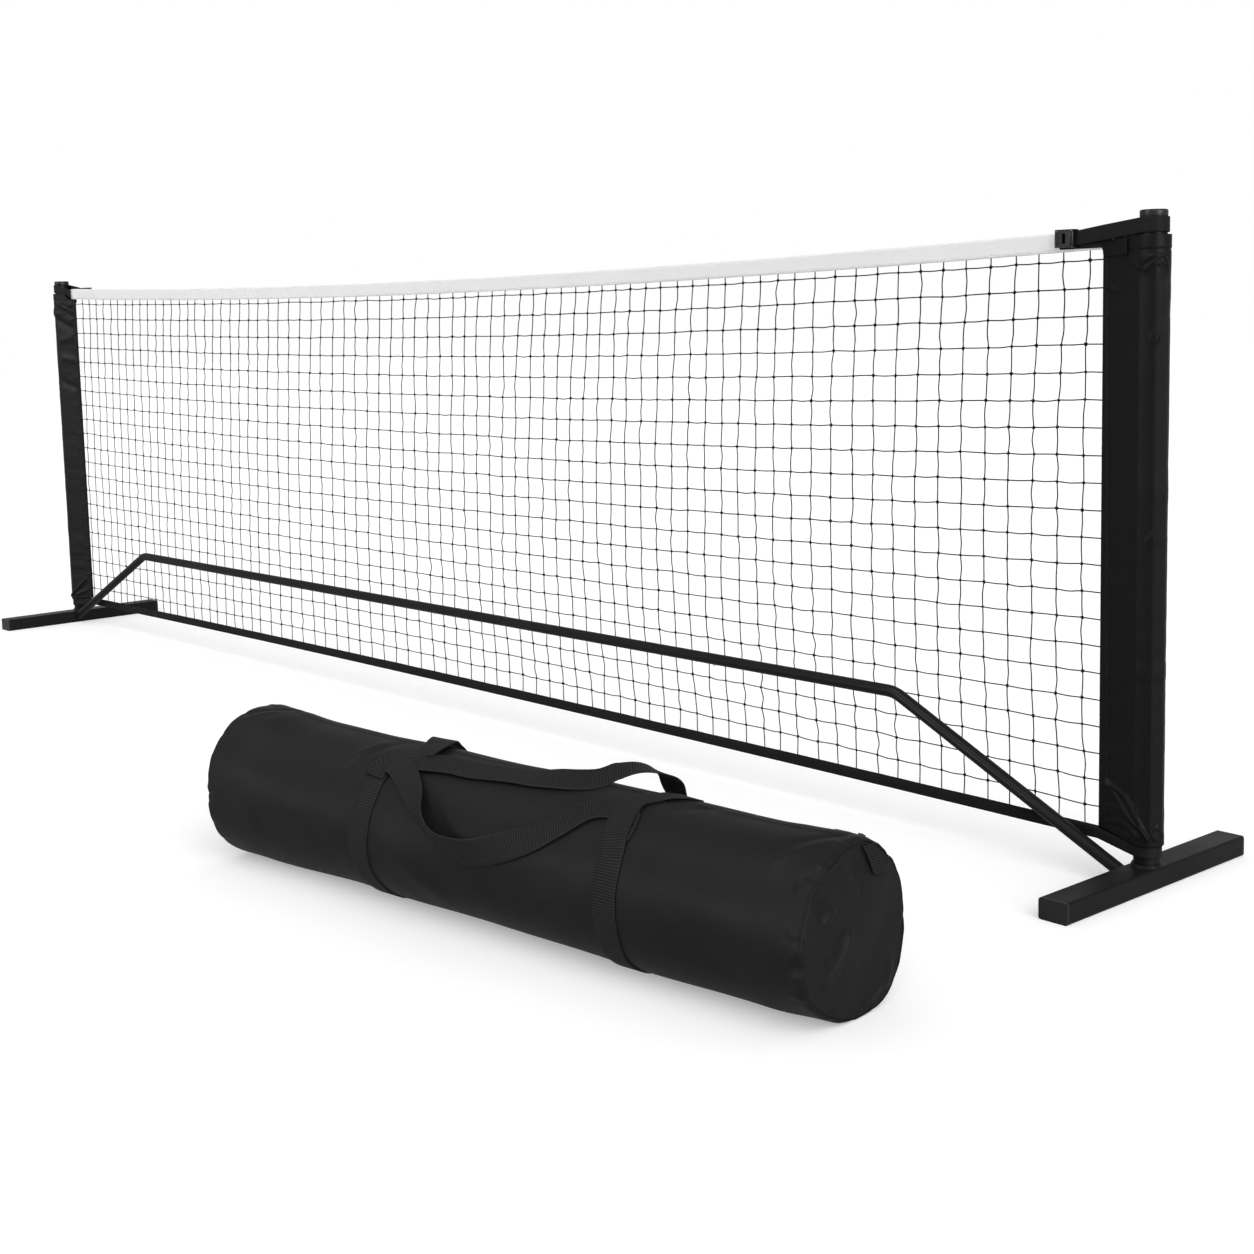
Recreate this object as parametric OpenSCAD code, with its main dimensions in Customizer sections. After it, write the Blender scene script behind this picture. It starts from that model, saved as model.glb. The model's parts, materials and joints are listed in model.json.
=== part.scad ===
// Portable half-court net: two steel feet, two plug-on posts, a bent crossbar that
// ties the feet together, a sagging mesh with a white headband, fabric post sleeves,
// cam-buckle straps, and the zipped carry bag that lies in front of it.
// Millimetres, +Z up, net along X, the bag on the -Y side.

/* [Posts] */
// Distance between the axes of the two posts
post_spacing = 3360; // [3200:20:3500]
// Outside diameter of a post
post_d = 36; // [32:1:40]
// Wall of the post tubes
post_wall = 2; // [1.5:0.1:2.5]
// Height of the top end of the upper post tube
post_top = 916; // [912:1:940]
// Height of the joint between the lower and the upper post tube
post_split = 780; // [740:5:800]
// Length of the spigot that the upper tube has below the joint
spigot_len = 50; // [44:1:60]
// Length of the stub that carries the post, above the weld ring
stub_len = 58; // [50:1:70]
// Radial play between a spigot or stub and the tube over it
tube_play = 0.25; // [0.2:0.05:0.4]
// How far the weld ring stands out past the post
weld_ring_lip = 3; // [2:0.5:5]
// Height of the weld ring on the foot
weld_ring_h = 4; // [3:0.5:6]
// How far the post cap stands out past the tube
cap_lip = 0.5; // [0.3:0.1:1.5]
// Height of the post cap above the tube
cap_h = 9; // [8:0.5:14]
// Chamfer round the top of the post cap
cap_chamfer = 1.6; // [1:0.2:3]
// Depth of the cap's plug inside the tube
cap_plug = 16; // [12:1:24]

/* [Feet] */
// Length of a foot, front to back
foot_l = 434; // [400:2:480]
// Width of a foot
foot_w = 46; // [44:1:54]
// Height of a foot
foot_h = 30; // [28:1:34]
// Wall of the foot tube
foot_wall = 2; // [1.5:0.1:2.5]
// Radius of the foot tube's long edges
foot_edge_r = 4; // [3:0.5:6]
// Thickness of a foot's end cap outside the tube
foot_cap_t = 4; // [3:0.5:6]
// Depth of the end cap's plug inside the tube
foot_plug = 18; // [12:1:24]

/* [Crossbar] */
// Outside diameter of the crossbar
bar_d = 19; // [17:0.5:22]
// Wall of the crossbar tube
bar_wall = 1.5; // [1.2:0.1:1.8]
// Height of the crossbar's straight run
bar_z = 216; // [200:2:240]
// Distance from a post's axis to the corner of the crossbar's bend
bar_bend_in = 434; // [400:2:480]
// Centre-line radius of the bend
bar_bend_r = 62; // [50:2:80]
// Distance of the crossbar in front of the net
bar_y = 20; // [18:0.5:24]
// Height at which the crossbar's axis meets the foot
bar_foot_z = 17; // [16:0.5:18]
// Length of the slanted stub inside the crossbar's end
bar_stub_len = 60; // [50:1:80]
// Length of a middle section of the crossbar
bar_middle_l = 820; // [760:10:860]
// Length of the spigot at a joint of the crossbar
bar_spigot = 55; // [45:1:70]
// Radial play between a crossbar spigot and the tube over it
bar_play = 0.25; // [0.2:0.05:0.35]

/* [Snap buttons] */
// Diameter of a post's snap button
post_button_d = 8; // [7:0.5:10]
// Diameter of a crossbar's snap button
bar_button_d = 6; // [5:0.5:7]
// How far a button stands out of its tube
button_out = 2.8; // [2:0.2:3.2]
// Radial play of a button in its hole
button_play = 0.1; // [0.05:0.05:0.2]
// Thickness of a button's inner flange
button_flange_t = 1.2; // [1:0.1:1.6]
// How far the flange stands out past the button
button_lip = 1.4; // [1:0.1:1.6]
// Thickness of the spring strip
clip_t = 0.6; // [0.5:0.1:0.8]
// Width of the spring strip
clip_w = 7; // [6:0.5:8]
// Angle of the post buttons, from the front towards the outside
button_turn = 35; // [0:5:60]

/* [Net] */
// Height of the headband's top edge at the sleeves
tape_top = 903; // [890:1:910]
// Height of the headband
tape_h = 27; // [24:1:32]
// How far the headband hangs down in the middle
tape_sag = 24; // [10:1:40]
// Thickness of one layer of the headband
tape_wall = 1.2; // [1:0.1:1.6]
// Room between the headband's two layers
tape_gap = 3.2; // [3:0.1:4]
// How far the headband runs past the netting at each end
tape_over = 17; // [12:1:20]
// Width of the tension webbing inside the headband
core_w = 10; // [8:0.5:11]
// Thickness of the tension webbing
core_t = 1.6; // [1.2:0.1:2]
// Height of the bottom band's top edge
band_top = 70; // [68:1:76]
// Height of the bottom band
band_h = 18; // [16:1:20]
// Thickness of one layer of the bottom band
band_wall = 1; // [0.8:0.1:1.4]
// Thickness of the netting
mesh_t = 2; // [1.6:0.1:2.4]
// Width of a string of the netting
string_w = 2.6; // [2:0.1:3.4]
// How far the netting reaches into the two bands
mesh_tuck = 12; // [10:0.5:14]
// Columns of gaps in the netting
mesh_cols = 32; // [24:1:32]
// Rows of gaps in the netting
mesh_rows = 9; // [6:1:9]
// How far the upright strings bow sideways at half height
mesh_bow = 18; // [0:1:24]

/* [Sleeves] */
// Reach of a sleeve from the post's axis to the netting
sleeve_reach = 77; // [72:1:84]
// Play of the sleeve round the post
sleeve_play = 4; // [3.5:0.1:5]
// Thickness of the sleeve fabric
sleeve_wall = 1.2; // [1:0.1:1.6]
// Height of the sleeve's top edge at the post
sleeve_top = 892; // [884:1:893]
// Depth of the folds that the low strap draws into the sleeve
fold_depth = 2.4; // [0:0.2:3]
// Depth of the gathers under the sleeve's top hem
gather_depth = 0.9; // [0:0.1:1.4]
// Height of the upright crease on the sleeve's front
crease_h = 1.8; // [0:0.2:2.4]
// Thickness of the hem sewn to the netting
hem_t = 3.2; // [2.8:0.1:4]
// Width of that hem
hem_w = 9; // [7:0.5:12]

/* [Straps and buckles] */
// Width of the strap round the top of a post
strap_w = 21; // [18:0.5:22]
// Thickness of the webbing
strap_t = 2; // [1.4:0.1:2.2]
// Play of a strap round the post
strap_play = 0.8; // [0.7:0.05:1.2]
// Height of the middle of the strap at the post
strap_z = 905; // [904.5:0.5:908]
// How far the strap drops from the post to its buckle
strap_drop = 12.5; // [10:0.5:14]
// Distance from the end of the netting to the middle of a buckle
buckle_in = 53; // [46:1:64]
// Thickness of the patch under a buckle
patch_t = 1.2; // [0.8:0.1:1.4]
// How far the patch reaches over the sleeve
patch_over = 40; // [30:1:44]
// Width of the strap round the foot of a post
low_strap_w = 16; // [14:1:17]
// Height of the middle of that strap at the post
low_strap_z = 52; // [51:0.5:54]
// How far the low strap rises from the post to the bottom band
low_strap_rise = 9; // [6:0.5:10]
// Length of a buckle along the strap
buckle_l = 30; // [28:1:34]
// Thickness of a buckle's plates
buckle_t = 1.6; // [1.4:0.1:2]
// Diameter of a buckle's pin
pin_d = 3; // [2.6:0.2:3.4]
// Radius of the cam's hub
cam_r = 4.2; // [3.8:0.1:4.6]
// Thickness of the cam's thumb plate
thumb_t = 2; // [1.6:0.1:2.4]

/* [Bag] */
// Length of the bag
bag_l = 1100; // [1060:10:1180]
// Radius of the bag
bag_r = 106; // [98:1:112]
// How deep the bag flattens on the floor
bag_flat = 3; // [2:0.5:5]
// Thickness of the bag's fabric
bag_wall = 2; // [1.6:0.1:2.4]
// Distance of the bag's middle to the right of the net's middle
bag_x = 1171; // [1120:1:1180]
// Distance of the bag's middle in front of the net
bag_y = 705; // [640:1:760]
// Angle of the bag to the net
bag_turn = 5.8; // [0:0.2:10]
// Width of the bag's webbing
webbing_w = 38; // [34:1:42]
// Thickness of the bag's webbing
webbing_t = 2; // [1.6:0.1:2.4]
// Distance between the two webbing bands
band_gap = 460; // [420:2:480]
// How far the bands sit to the right of the bag's middle
band_shift = 30; // [0:2:40]
// Angle of the zip behind the top of the bag
zip_angle = 34; // [26:1:40]
// Distance from each end of the bag to the zip
zip_end = 20; // [16:1:40]
// Width of each zip tape
zip_tape_w = 14; // [12:1:16]
// Thickness of the zip tapes
zip_tape_t = 0.8; // [0.6:0.1:1]
// Width of the closed row of zip teeth
zip_chain_w = 6; // [5:0.5:7]
// Height of the row of teeth
zip_chain_h = 1.6; // [1.2:0.1:2]

/* [Hidden] */

black = [0.09, 0.09, 0.095];
soft_black = [0.12, 0.12, 0.125];
charcoal = [0.19, 0.19, 0.2];
steel = [0.72, 0.73, 0.75];
white = [0.9, 0.9, 0.91];

// Thin gap between a soft part and its neighbour
near = 0.3;
// Overlap that joins the solids of one piece
bite = 0.5;

post_x = post_spacing / 2;
post_r = post_d / 2;
post_bore_r = post_r - post_wall;
spigot_r = post_bore_r - tube_play;
spigot_bore_r = spigot_r - post_wall;
post_foot_z = foot_h + weld_ring_h;
post_button_z = post_split - spigot_len / 2;

mesh_w = post_spacing - 2 * sleeve_reach;
mesh_half = mesh_w / 2;
mesh_low = band_top;
mesh_high = tape_top - tape_h;
tape_t = tape_gap + 2 * tape_wall;
tape_half = mesh_half + tape_over;
band_gap_y = mesh_t + 2 * near;
band_t = band_gap_y + 2 * band_wall;

foot_inner_x = post_x - foot_w / 2;
bend_x = post_x - bar_bend_in;
bar_slope = atan2(bar_z - bar_foot_z, foot_inner_x - bend_x);
bend_back = bar_bend_r * tan(bar_slope / 2);
slope_l = norm([bar_z - bar_foot_z, foot_inner_x - bend_x]);
bar_bore_r = bar_d / 2 - bar_wall;
bar_spigot_r = bar_bore_r - bar_play;

bag_axis_z = bag_r - bag_flat;
zip_l = bag_l - 2 * zip_end;
bag_reach_x = bag_l / 2 * cos(bag_turn) + bag_r * sin(bag_turn);
bag_reach_y = bag_l / 2 * sin(bag_turn) + bag_r * cos(bag_turn);
set_right = max(post_x + foot_w / 2, bag_x + bag_reach_x);
set_left = post_x + foot_w / 2;
mid_x = (set_right - set_left) / 2;
mid_y = (foot_l / 2 - bag_y - bag_reach_y) / 2;

// ---- placing -------------------------------------------------------------------------

module placed() translate([-mid_x, -mid_y, 0]) children();
module at_right() placed() children();
module at_left() placed() mirror([1, 0, 0]) children();
// The left end's strap and buckle sit on the back: the right end's, turned half round
module at_left_turned() placed() rotate([0, 0, 180]) children();
module at_bag() placed() translate([bag_x, -bag_y, bag_axis_z]) rotate([0, 0, bag_turn]) children();

// A rod or hole from a, r thick, l long, turned by pitch about Y from +Z
module rod(a, r, l, pitch) translate(a) rotate([0, pitch, 0]) cylinder(r = r, h = l, $fn = 48);

module rounded_plate(w, h, r) {
    square([w - 2 * r, h], center = true);
    square([w, h - 2 * r], center = true);
    for (x = [-1, 1], y = [-1, 1])
        translate([x * (w / 2 - r), y * (h / 2 - r)]) circle(r, $fn = 32);
}

module tube(r, bore, z0, z1) difference() {
    translate([0, 0, z0]) cylinder(r = r, h = z1 - z0, $fn = 64);
    translate([0, 0, z0 - 1]) cylinder(r = bore, h = z1 - z0 + 2, $fn = 64);
}

// ---- ribbons of webbing --------------------------------------------------------------

function unit(v) = v / norm(v);
function along(p, i) = unit(p[min(i + 1, len(p) - 1)] - p[max(i - 1, 0)]);

// A flat strip along points p, w wide across the vectors in a, t thick
module strip(p, a, w, t) {
    n = len(p);
    corners = [for (i = [0 : n - 1])
        let (side = a[i] * w / 2, out = unit(cross(along(p, i), a[i])) * t / 2)
        each [p[i] - side - out, p[i] + side - out, p[i] + side + out, p[i] - side + out]];
    sides = [for (i = [0 : n - 2], k = [0 : 3])
        let (b = 4 * i, m = (k + 1) % 4)
        each [[b + k, b + 4 + k, b + 4 + m], [b + k, b + 4 + m, b + m]]];
    e = 4 * (n - 1);
    polyhedron(points = corners,
        faces = concat([[0, 1, 2], [0, 2, 3], [e + 3, e + 2, e + 1], [e + 3, e + 1, e]], sides));
}

module upright_strip(p, w, t) strip(p, [for (q = p) [0, 0, 1]], w, t);

function curve(a, b, c, d, t) = 0.5 * (2 * b + (c - a) * t + (2 * a - 5 * b + 4 * c - d) * t * t
    + (3 * b - a - 3 * c + d) * t * t * t);
function smooth(p, n) = concat([for (i = [0 : len(p) - 2], k = [0 : n - 1])
    curve(p[max(i - 1, 0)], p[i], p[i + 1], p[min(i + 2, len(p) - 1)], k / n)], [p[len(p) - 1]]);

// ---- feet ----------------------------------------------------------------------------

module foot() {
    tube_l = foot_l - 2 * foot_cap_t;
    color(black) difference() {
        translate([post_x, tube_l / 2, foot_h / 2]) rotate([90, 0, 0])
            linear_extrude(tube_l) difference() {
                rounded_plate(foot_w, foot_h, foot_edge_r);
                rounded_plate(foot_w - 2 * foot_wall, foot_h - 2 * foot_wall,
                    foot_edge_r - foot_wall);
            }
        translate([post_x, 0, foot_h / 2]) cylinder(r = spigot_r, h = foot_h, $fn = 64);
        rod([foot_inner_x, -bar_y, bar_foot_z], bar_spigot_r, 30, -90 + bar_slope);
        rod([foot_inner_x, -bar_y, bar_foot_z], bar_spigot_r, brace_tail, 90 + bar_slope);
    }
}

module foot_caps() {
    plug_w = foot_w - 2 * foot_wall;
    plug_h = foot_h - 2 * foot_wall;
    color(soft_black) for (s = [0, 1])
        translate([post_x, 0, foot_h / 2]) mirror([0, s, 0]) {
            translate([0, foot_l / 2, 0]) rotate([90, 0, 0])
                linear_extrude(foot_cap_t) rounded_plate(foot_w, foot_h, foot_edge_r);
            translate([0, foot_l / 2 - foot_cap_t, 0]) rotate([90, 0, 0])
                linear_extrude(foot_plug) difference() {
                    rounded_plate(plug_w, plug_h, foot_edge_r - foot_wall);
                    rounded_plate(plug_w - 2 * foot_cap_t, plug_h - 2 * foot_cap_t, 1);
                }
        }
}

// Stub that the post plugs on, welded through the top of the foot
module post_stub() color(black) translate([post_x, 0, 0]) difference() {
    union() {
        translate([0, 0, foot_wall]) cylinder(r = spigot_r, h = post_foot_z + stub_len - foot_wall, $fn = 64);
        translate([0, 0, foot_h]) cylinder(r1 = post_r + weld_ring_lip + 1, r2 = post_r + weld_ring_lip - 1,
            h = weld_ring_h, $fn = 64);
    }
    translate([0, 0, -1]) cylinder(r = spigot_bore_r, h = post_foot_z + stub_len + 2, $fn = 64);
}

// How far the slanted stub reaches inside the foot
brace_tail = 7;

// Slanted stub on the inner side of the foot, inside the end of the crossbar
module brace_stub() color(black)
    translate([foot_inner_x, -bar_y, bar_foot_z]) rotate([0, -90 + bar_slope, 0])
        translate([0, 0, -brace_tail]) cylinder(r = bar_spigot_r, h = brace_tail + bar_stub_len, $fn = 48);

// ---- posts ---------------------------------------------------------------------------

module button_hole(r) translate([0, 0, post_button_z]) rotate([0, 0, -90 + button_turn])
    rotate([0, 90, 0]) cylinder(r = r, h = post_d, $fn = 32);

module lower_post() color(black) translate([post_x, 0, 0]) difference() {
    tube(post_r, post_bore_r, post_foot_z, post_split);
    button_hole(post_button_d / 2 + button_play);
}

module upper_post() color(black) translate([post_x, 0, 0]) difference() {
    union() {
        translate([0, 0, post_split]) cylinder(r = post_r, h = post_top - post_split, $fn = 64);
        translate([0, 0, post_split - spigot_len]) cylinder(r = spigot_r, h = spigot_len + bite, $fn = 64);
    }
    translate([0, 0, post_split - spigot_len - 1]) cylinder(r = spigot_bore_r, h = post_top, $fn = 64);
    translate([0, 0, post_split + post_wall]) cylinder(r = post_bore_r, h = post_top, $fn = 64);
    button_hole(post_button_d / 2 + button_play);
}

module post_cap() color(soft_black) translate([post_x, 0, post_top]) rotate_extrude($fn = 64)
    polygon([[0, cap_h], [post_r + cap_lip - cap_chamfer, cap_h], [post_r + cap_lip, cap_h - cap_chamfer],
        [post_r + cap_lip, 0], [post_bore_r - tube_play, 0], [post_bore_r - tube_play, -cap_plug],
        [post_bore_r - 3, -cap_plug], [post_bore_r - 3, cap_h - 3], [0, cap_h - 3]]);

// Button along +Z through tubes along X: a flange curved to the inner bore, a stem
// through both walls and a domed tip
module button(r, inner, outer) {
    base = inner - button_flange_t - near;
    rotate_extrude($fn = 32) polygon(concat([[0, base], [r, base]],
        [for (a = [0 : 15 : 90]) [r - button_out / 2 * (1 - cos(a)), outer + button_out / 2 * (1 + sin(a))]],
        [[0, outer + button_out]]));
    intersection() {
        translate([0, 0, base]) cylinder(r = r + button_lip, h = button_flange_t, $fn = 32);
        rotate([0, 90, 0]) cylinder(r = inner - near, h = 4 * r, center = true, $fn = 64);
    }
}

module post_button() color(steel) translate([post_x, 0, post_button_z])
    rotate([0, 0, -90 + button_turn]) rotate([0, 90, 0]) button(post_button_d / 2, spigot_bore_r, post_r);

// V-shaped spring strip lying across a tube of radius r: one leg under the button's
// flange at radius top, the other on the far wall, the fold l below
module clip(top, far, l) rotate([90, 0, 0]) translate([0, 0, -clip_w / 2]) linear_extrude(clip_w)
    polygon([[top, 6], [top, -6], [-far + 2.5, -l], [-far + 1.5, -l - 1.2], [-far, -l], [-far, 6],
        [-far + clip_t, 6], [-far + clip_t, -l + 1], [top - clip_t, -5.6], [top - clip_t, 6]]);

module post_clip() color(steel) translate([post_x, 0, post_button_z])
    rotate([0, 0, -90 + button_turn])
        clip(spigot_bore_r - button_flange_t - near, sqrt(pow(spigot_bore_r, 2) - pow(clip_w / 2, 2)) - 0.1,
            spigot_len / 2 - 2);

// ---- crossbar ------------------------------------------------------------------------

// How much thicker the crossbar's wall is in the bend, outside and inside
bend_swell = 0.05;

// Tube of the crossbar from a, l long, turned by pitch about Y from +Z
module bar_tube(a, l, pitch, bore) translate(a) rotate([0, pitch, 0]) difference() {
    cylinder(r = bar_d / 2, h = l, $fn = 64);
    translate([0, 0, -1]) cylinder(r = bore, h = l + 2, $fn = 64);
}

// Bent tube from the foot to x = joint_x on the straight run
module bent_tube(joint_x) {
    bar_tube([joint_x, -bar_y, bar_z], bend_x - bend_back - joint_x, 90, bar_bore_r);
    translate([bend_x - bend_back, -bar_y, bar_z - bar_bend_r]) rotate([90, 0, 0])
        rotate([0, 0, 90 - bar_slope]) rotate_extrude(angle = bar_slope, $fn = 96)
            translate([bar_bend_r, 0]) difference() {
                circle(bar_d / 2 + bend_swell, $fn = 64);
                circle(bar_bore_r - bend_swell, $fn = 64);
            }
    difference() {
        translate([foot_inner_x, -bar_y, bar_foot_z]) rotate([0, -90 + bar_slope, 0])
            bar_tube([0, 0, -bar_d], slope_l - bend_back + bar_d, 0, bar_bore_r);
        translate([foot_inner_x - near, -bar_y - bar_d, -foot_h]) cube([60, 2 * bar_d, 3 * foot_h]);
    }
}

module crossbar_right_end() color(black) difference() {
    bent_tube(bar_middle_l);
    bar_button_hole(bar_middle_l + bar_spigot / 2);
}

module bar_button_hole(x) translate([x, -bar_y, bar_z]) rotate([180, 0, 0])
    cylinder(r = bar_button_d / 2 + button_play, h = bar_d, $fn = 32);

// Middle section from x0 to the right, with a spigot at its right end
module crossbar_middle(x0, left_hole) color(black) difference() {
    union() {
        rod([x0, -bar_y, bar_z], bar_d / 2, bar_middle_l, 90);
        rod([x0 + bar_middle_l - bite, -bar_y, bar_z], bar_spigot_r, bar_spigot + bite, 90);
    }
    rod([x0 - 1, -bar_y, bar_z], bar_bore_r, bar_middle_l - bar_wall + 1, 90);
    rod([x0 + bar_middle_l - 2 * bar_wall, -bar_y, bar_z], bar_spigot_r - bar_wall, bar_spigot + 10, 90);
    bar_button_hole(x0 + bar_middle_l + bar_spigot / 2);
    bar_button_hole(x0 + left_hole);
}

// Left end: the mirrored bent tube, with a spigot towards the middle
module crossbar_left_end() color(black) difference() {
    union() {
        mirror([1, 0, 0]) bent_tube(bar_middle_l + bar_wall);
        bar_tube([-bar_middle_l - bar_wall, -bar_y, bar_z], bar_wall, 90, bar_spigot_r - bar_wall);
        rod([-bar_middle_l - bite, -bar_y, bar_z], bar_spigot_r, bar_spigot + bite, 90);
    }
    rod([-bar_middle_l - bite - 1, -bar_y, bar_z], bar_spigot_r - bar_wall, bar_spigot + 10, 90);
    bar_button_hole(-bar_middle_l + bar_spigot / 2);
}

joint_xs = [for (i = [-1 : 1]) i * bar_middle_l + bar_spigot / 2];

module crossbar_button(i) color(steel) translate([joint_xs[i], -bar_y, bar_z]) rotate([180, 0, 0])
    button(bar_button_d / 2, bar_spigot_r - bar_wall, bar_d / 2);

module crossbar_clip(i) color(steel) translate([joint_xs[i], -bar_y, bar_z]) rotate([0, 90, 0])
    clip(bar_spigot_r - bar_wall - button_flange_t - near,
        sqrt(pow(bar_spigot_r - bar_wall, 2) - pow(clip_w / 2, 2)) - 0.1, 20);

// ---- net -----------------------------------------------------------------------------

function droop(x) = tape_sag * (1 - pow(x / mesh_half, 2));

// Point of the netting: s runs 0..1 from left to right, v runs 0..1 from bottom to top
function mesh_point(s, v) =
    let (x = (s - 0.5) * (mesh_w - 2 * string_w))
    [x - mesh_bow * sin(180 * v) * sin(180 * pow(s, 1.2)),
        mesh_low + v * (mesh_high - mesh_low) - droop(x) * (1 - pow(1 - v, 3))];

function edge_points(n, z, drop, half) = [for (i = [0 : n])
    let (x = -half + 2 * half * i / n) [x, z - drop * droop(x)]];
function reversed(p) = [for (i = [len(p) - 1 : -1 : 0]) p[i]];

module netting() {
    g = string_w / 2;
    outline = concat(edge_points(1, mesh_low - mesh_tuck, 0, mesh_half),
        reversed(edge_points(mesh_cols, mesh_high + mesh_tuck, 1, mesh_half)));
    gaps = [for (c = [0 : mesh_cols - 1], r = [0 : mesh_rows - 1])
        let (a = mesh_point(c / mesh_cols, r / mesh_rows), b = mesh_point((c + 1) / mesh_cols, r / mesh_rows),
            d = mesh_point((c + 1) / mesh_cols, (r + 1) / mesh_rows), e = mesh_point(c / mesh_cols, (r + 1) / mesh_rows))
        each [a + [g, g], b + [-g, g], d + [-g, -g], e + [g, -g]]];
    n = len(outline);
    color(black) placed() translate([0, mesh_t / 2, 0]) rotate([90, 0, 0]) linear_extrude(mesh_t)
        polygon(points = concat(outline, gaps), paths = concat([[for (i = [0 : n - 1]) i]],
            [for (k = [0 : mesh_cols * mesh_rows - 1]) [for (j = [0 : 3]) n + 4 * k + j]]));
}

tape_steps = 24;
module tape_outline(low, high, half = tape_half) polygon(concat(edge_points(tape_steps, low, 1, half),
    reversed(edge_points(tape_steps, high, 1, half))));

module headband() color(white) placed() difference() {
    translate([0, tape_t / 2, 0]) rotate([90, 0, 0]) linear_extrude(tape_t)
        tape_outline(mesh_high, tape_top);
    translate([0, tape_gap / 2, 0]) rotate([90, 0, 0]) linear_extrude(tape_gap)
        tape_outline(mesh_high - 1, tape_top - tape_wall);
}

// Tension webbing: runs under the fold of the headband from one strap to the other
module headband_webbing() {
    top = tape_top - tape_wall - near;
    color(white) placed() translate([0, core_t / 2, 0]) rotate([90, 0, 0]) linear_extrude(core_t)
        tape_outline(top - core_w, top, mesh_half + near);
}

module bottom_band() color(black) placed() difference() {
    translate([-mesh_half, -band_t / 2, band_top - band_h]) cube([mesh_w, band_t, band_h]);
    translate([-mesh_half - 1, -band_gap_y / 2, band_top - band_h + band_wall])
        cube([mesh_w + 2, band_gap_y, band_h]);
}

// ---- sleeves -------------------------------------------------------------------------

// A sleeve is a loop of cloth: two panels that start at the hem and a wrap round the
// post. Its points go from the rear panel round the post to the front panel.
panel_n = 8;
wrap_n = 12;
sleeve_r = post_r + sleeve_play + sleeve_wall;
// Heights of the rows of points, as parts of the sleeve's height, close where it folds
sleeve_rows = [0, 0.006, 0.013, 0.023, 0.035, 0.05, 0.067, 0.087, 0.11, 0.14, 0.25, 0.5, 0.8, 0.9,
    0.925, 0.94, 0.952, 0.963, 0.974, 0.983, 1];

function ease(t) = let (c = min(1, max(0, t))) c * c * (3 - 2 * c);
// Height of a fold of width w along the line from a to b, 1 on the line itself
function ridge(p, a, b, w) =
    let (t = min(1, max(0, ((p - a) * (b - a)) / ((b - a) * (b - a)))), d = norm(p - a - t * (b - a)))
    exp(-d * d / (w * w));

// Plan of a loop of radius r that starts at [-reach, half]: each entry holds the point,
// the outward direction, the way from the hem and the angle round the post
function loop_touch(r, reach, half) = 180 - atan2(half, reach) - acos(r / norm([reach, half]));
function panel_l(r, reach, half) = sqrt(reach * reach + half * half - r * r);
function loop_entry(r, reach, half, k) =
    let (turn = loop_touch(r, reach, half), far = panel_l(r, reach, half), last = 2 * panel_n + wrap_n,
        m = min(k, last - k), side = k <= last / 2 ? 1 : -1)
    m < panel_n
    ? let (t = m / panel_n, n = [cos(turn), side * sin(turn)])
        [[-reach * (1 - t) + t * r * cos(turn), side * (half * (1 - t) + t * r * sin(turn))], n, t * far, 180]
    : let (a = turn * (1 - 2 * (k - panel_n) / wrap_n), n = [cos(a), sin(a)])
        [r * n, n, far + r * abs(turn - abs(a)) * PI / 180, a];

// How far the cloth stands out at a place s from the hem, at height z, at angle a
function folds(s, z, a) =
    let (low = low_strap_z + low_strap_w / 2, top = sleeve_top - 16)
    fold_depth * ease(s / 9) * (ridge([s, z - low], [9, 96], [62, 8], 6)
        + 0.5 * ridge([s, z - low], [9, 50], [34, 40], 5) + 0.6 * ridge([s, z - low], [9, 26], [50, 9], 5))
    + gather_depth * sin(24 * s + 5 * (top - z)) * ease((s - 44) / 12) * ease((top - z) / 6)
        * ease((44 - top + z) / 30)
    + crease_h * exp(-pow((a + 45) / 10, 2)) * ease((top - 14 - z) / 20) * ease((z - low - 6) / 12);

function sleeve_low(x) = low_strap_z + low_strap_w / 2 + 1
    + (band_top + near - low_strap_z - low_strap_w / 2 - 1) * min(1, max(0, -x / sleeve_reach));
function sleeve_high(x) = mesh_high - 2 * near
    + (sleeve_top - mesh_high + 2 * near) * ease((x + 40) / 22);

module sleeve() {
    n = 2 * panel_n + wrap_n + 1;
    rows = len(sleeve_rows);
    inner_half = sleeve_wall / 8;
    shell = [for (side = [0, 1], v = sleeve_rows, k = [0 : n - 1])
        let (o = loop_entry(sleeve_r, sleeve_reach, hem_t / 2, k), low = sleeve_low(o[0][0]),
            z = low + v * (sleeve_high(o[0][0]) - low),
            e = side == 0 ? o : loop_entry(sleeve_r - sleeve_wall, sleeve_reach - hem_w, inner_half, k),
            p = e[0] + folds(o[2], z, o[3]) * e[1])
        [p[0], p[1], z]];
    base = n * rows;
    skins = [for (i = [0 : rows - 2], k = [0 : n - 1])
        let (a = n * i + k, b = n * i + (k + 1) % n)
        each [[a, b, b + n], [a, b + n, a + n],
            [base + a, base + b + n, base + b], [base + a, base + a + n, base + b + n]]];
    rims = [for (k = [0 : n - 1])
        let (m = (k + 1) % n, t = n * (rows - 1))
        each [[k, base + k, base + m], [k, base + m, m],
            [t + k, base + t + m, base + t + k], [t + k, t + m, base + t + m]]];
    color(soft_black) translate([post_x, 0, 0]) polyhedron(points = shell, faces = concat(skins, rims));
}

// ---- straps and buckles --------------------------------------------------------------

buckle_x = mesh_half - buckle_in;
buckle_z = strap_z - strap_drop;
patch_y = tape_t / 2 + near;
plate_y = patch_y + patch_t + near;
strap_y = plate_y + buckle_t + near + strap_t / 2;
loop_r = post_r + strap_play + strap_t / 2;
pin_y = strap_y + strap_t / 2 + near + cam_r;
pin_x = buckle_x + buckle_l * 0.3;

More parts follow.
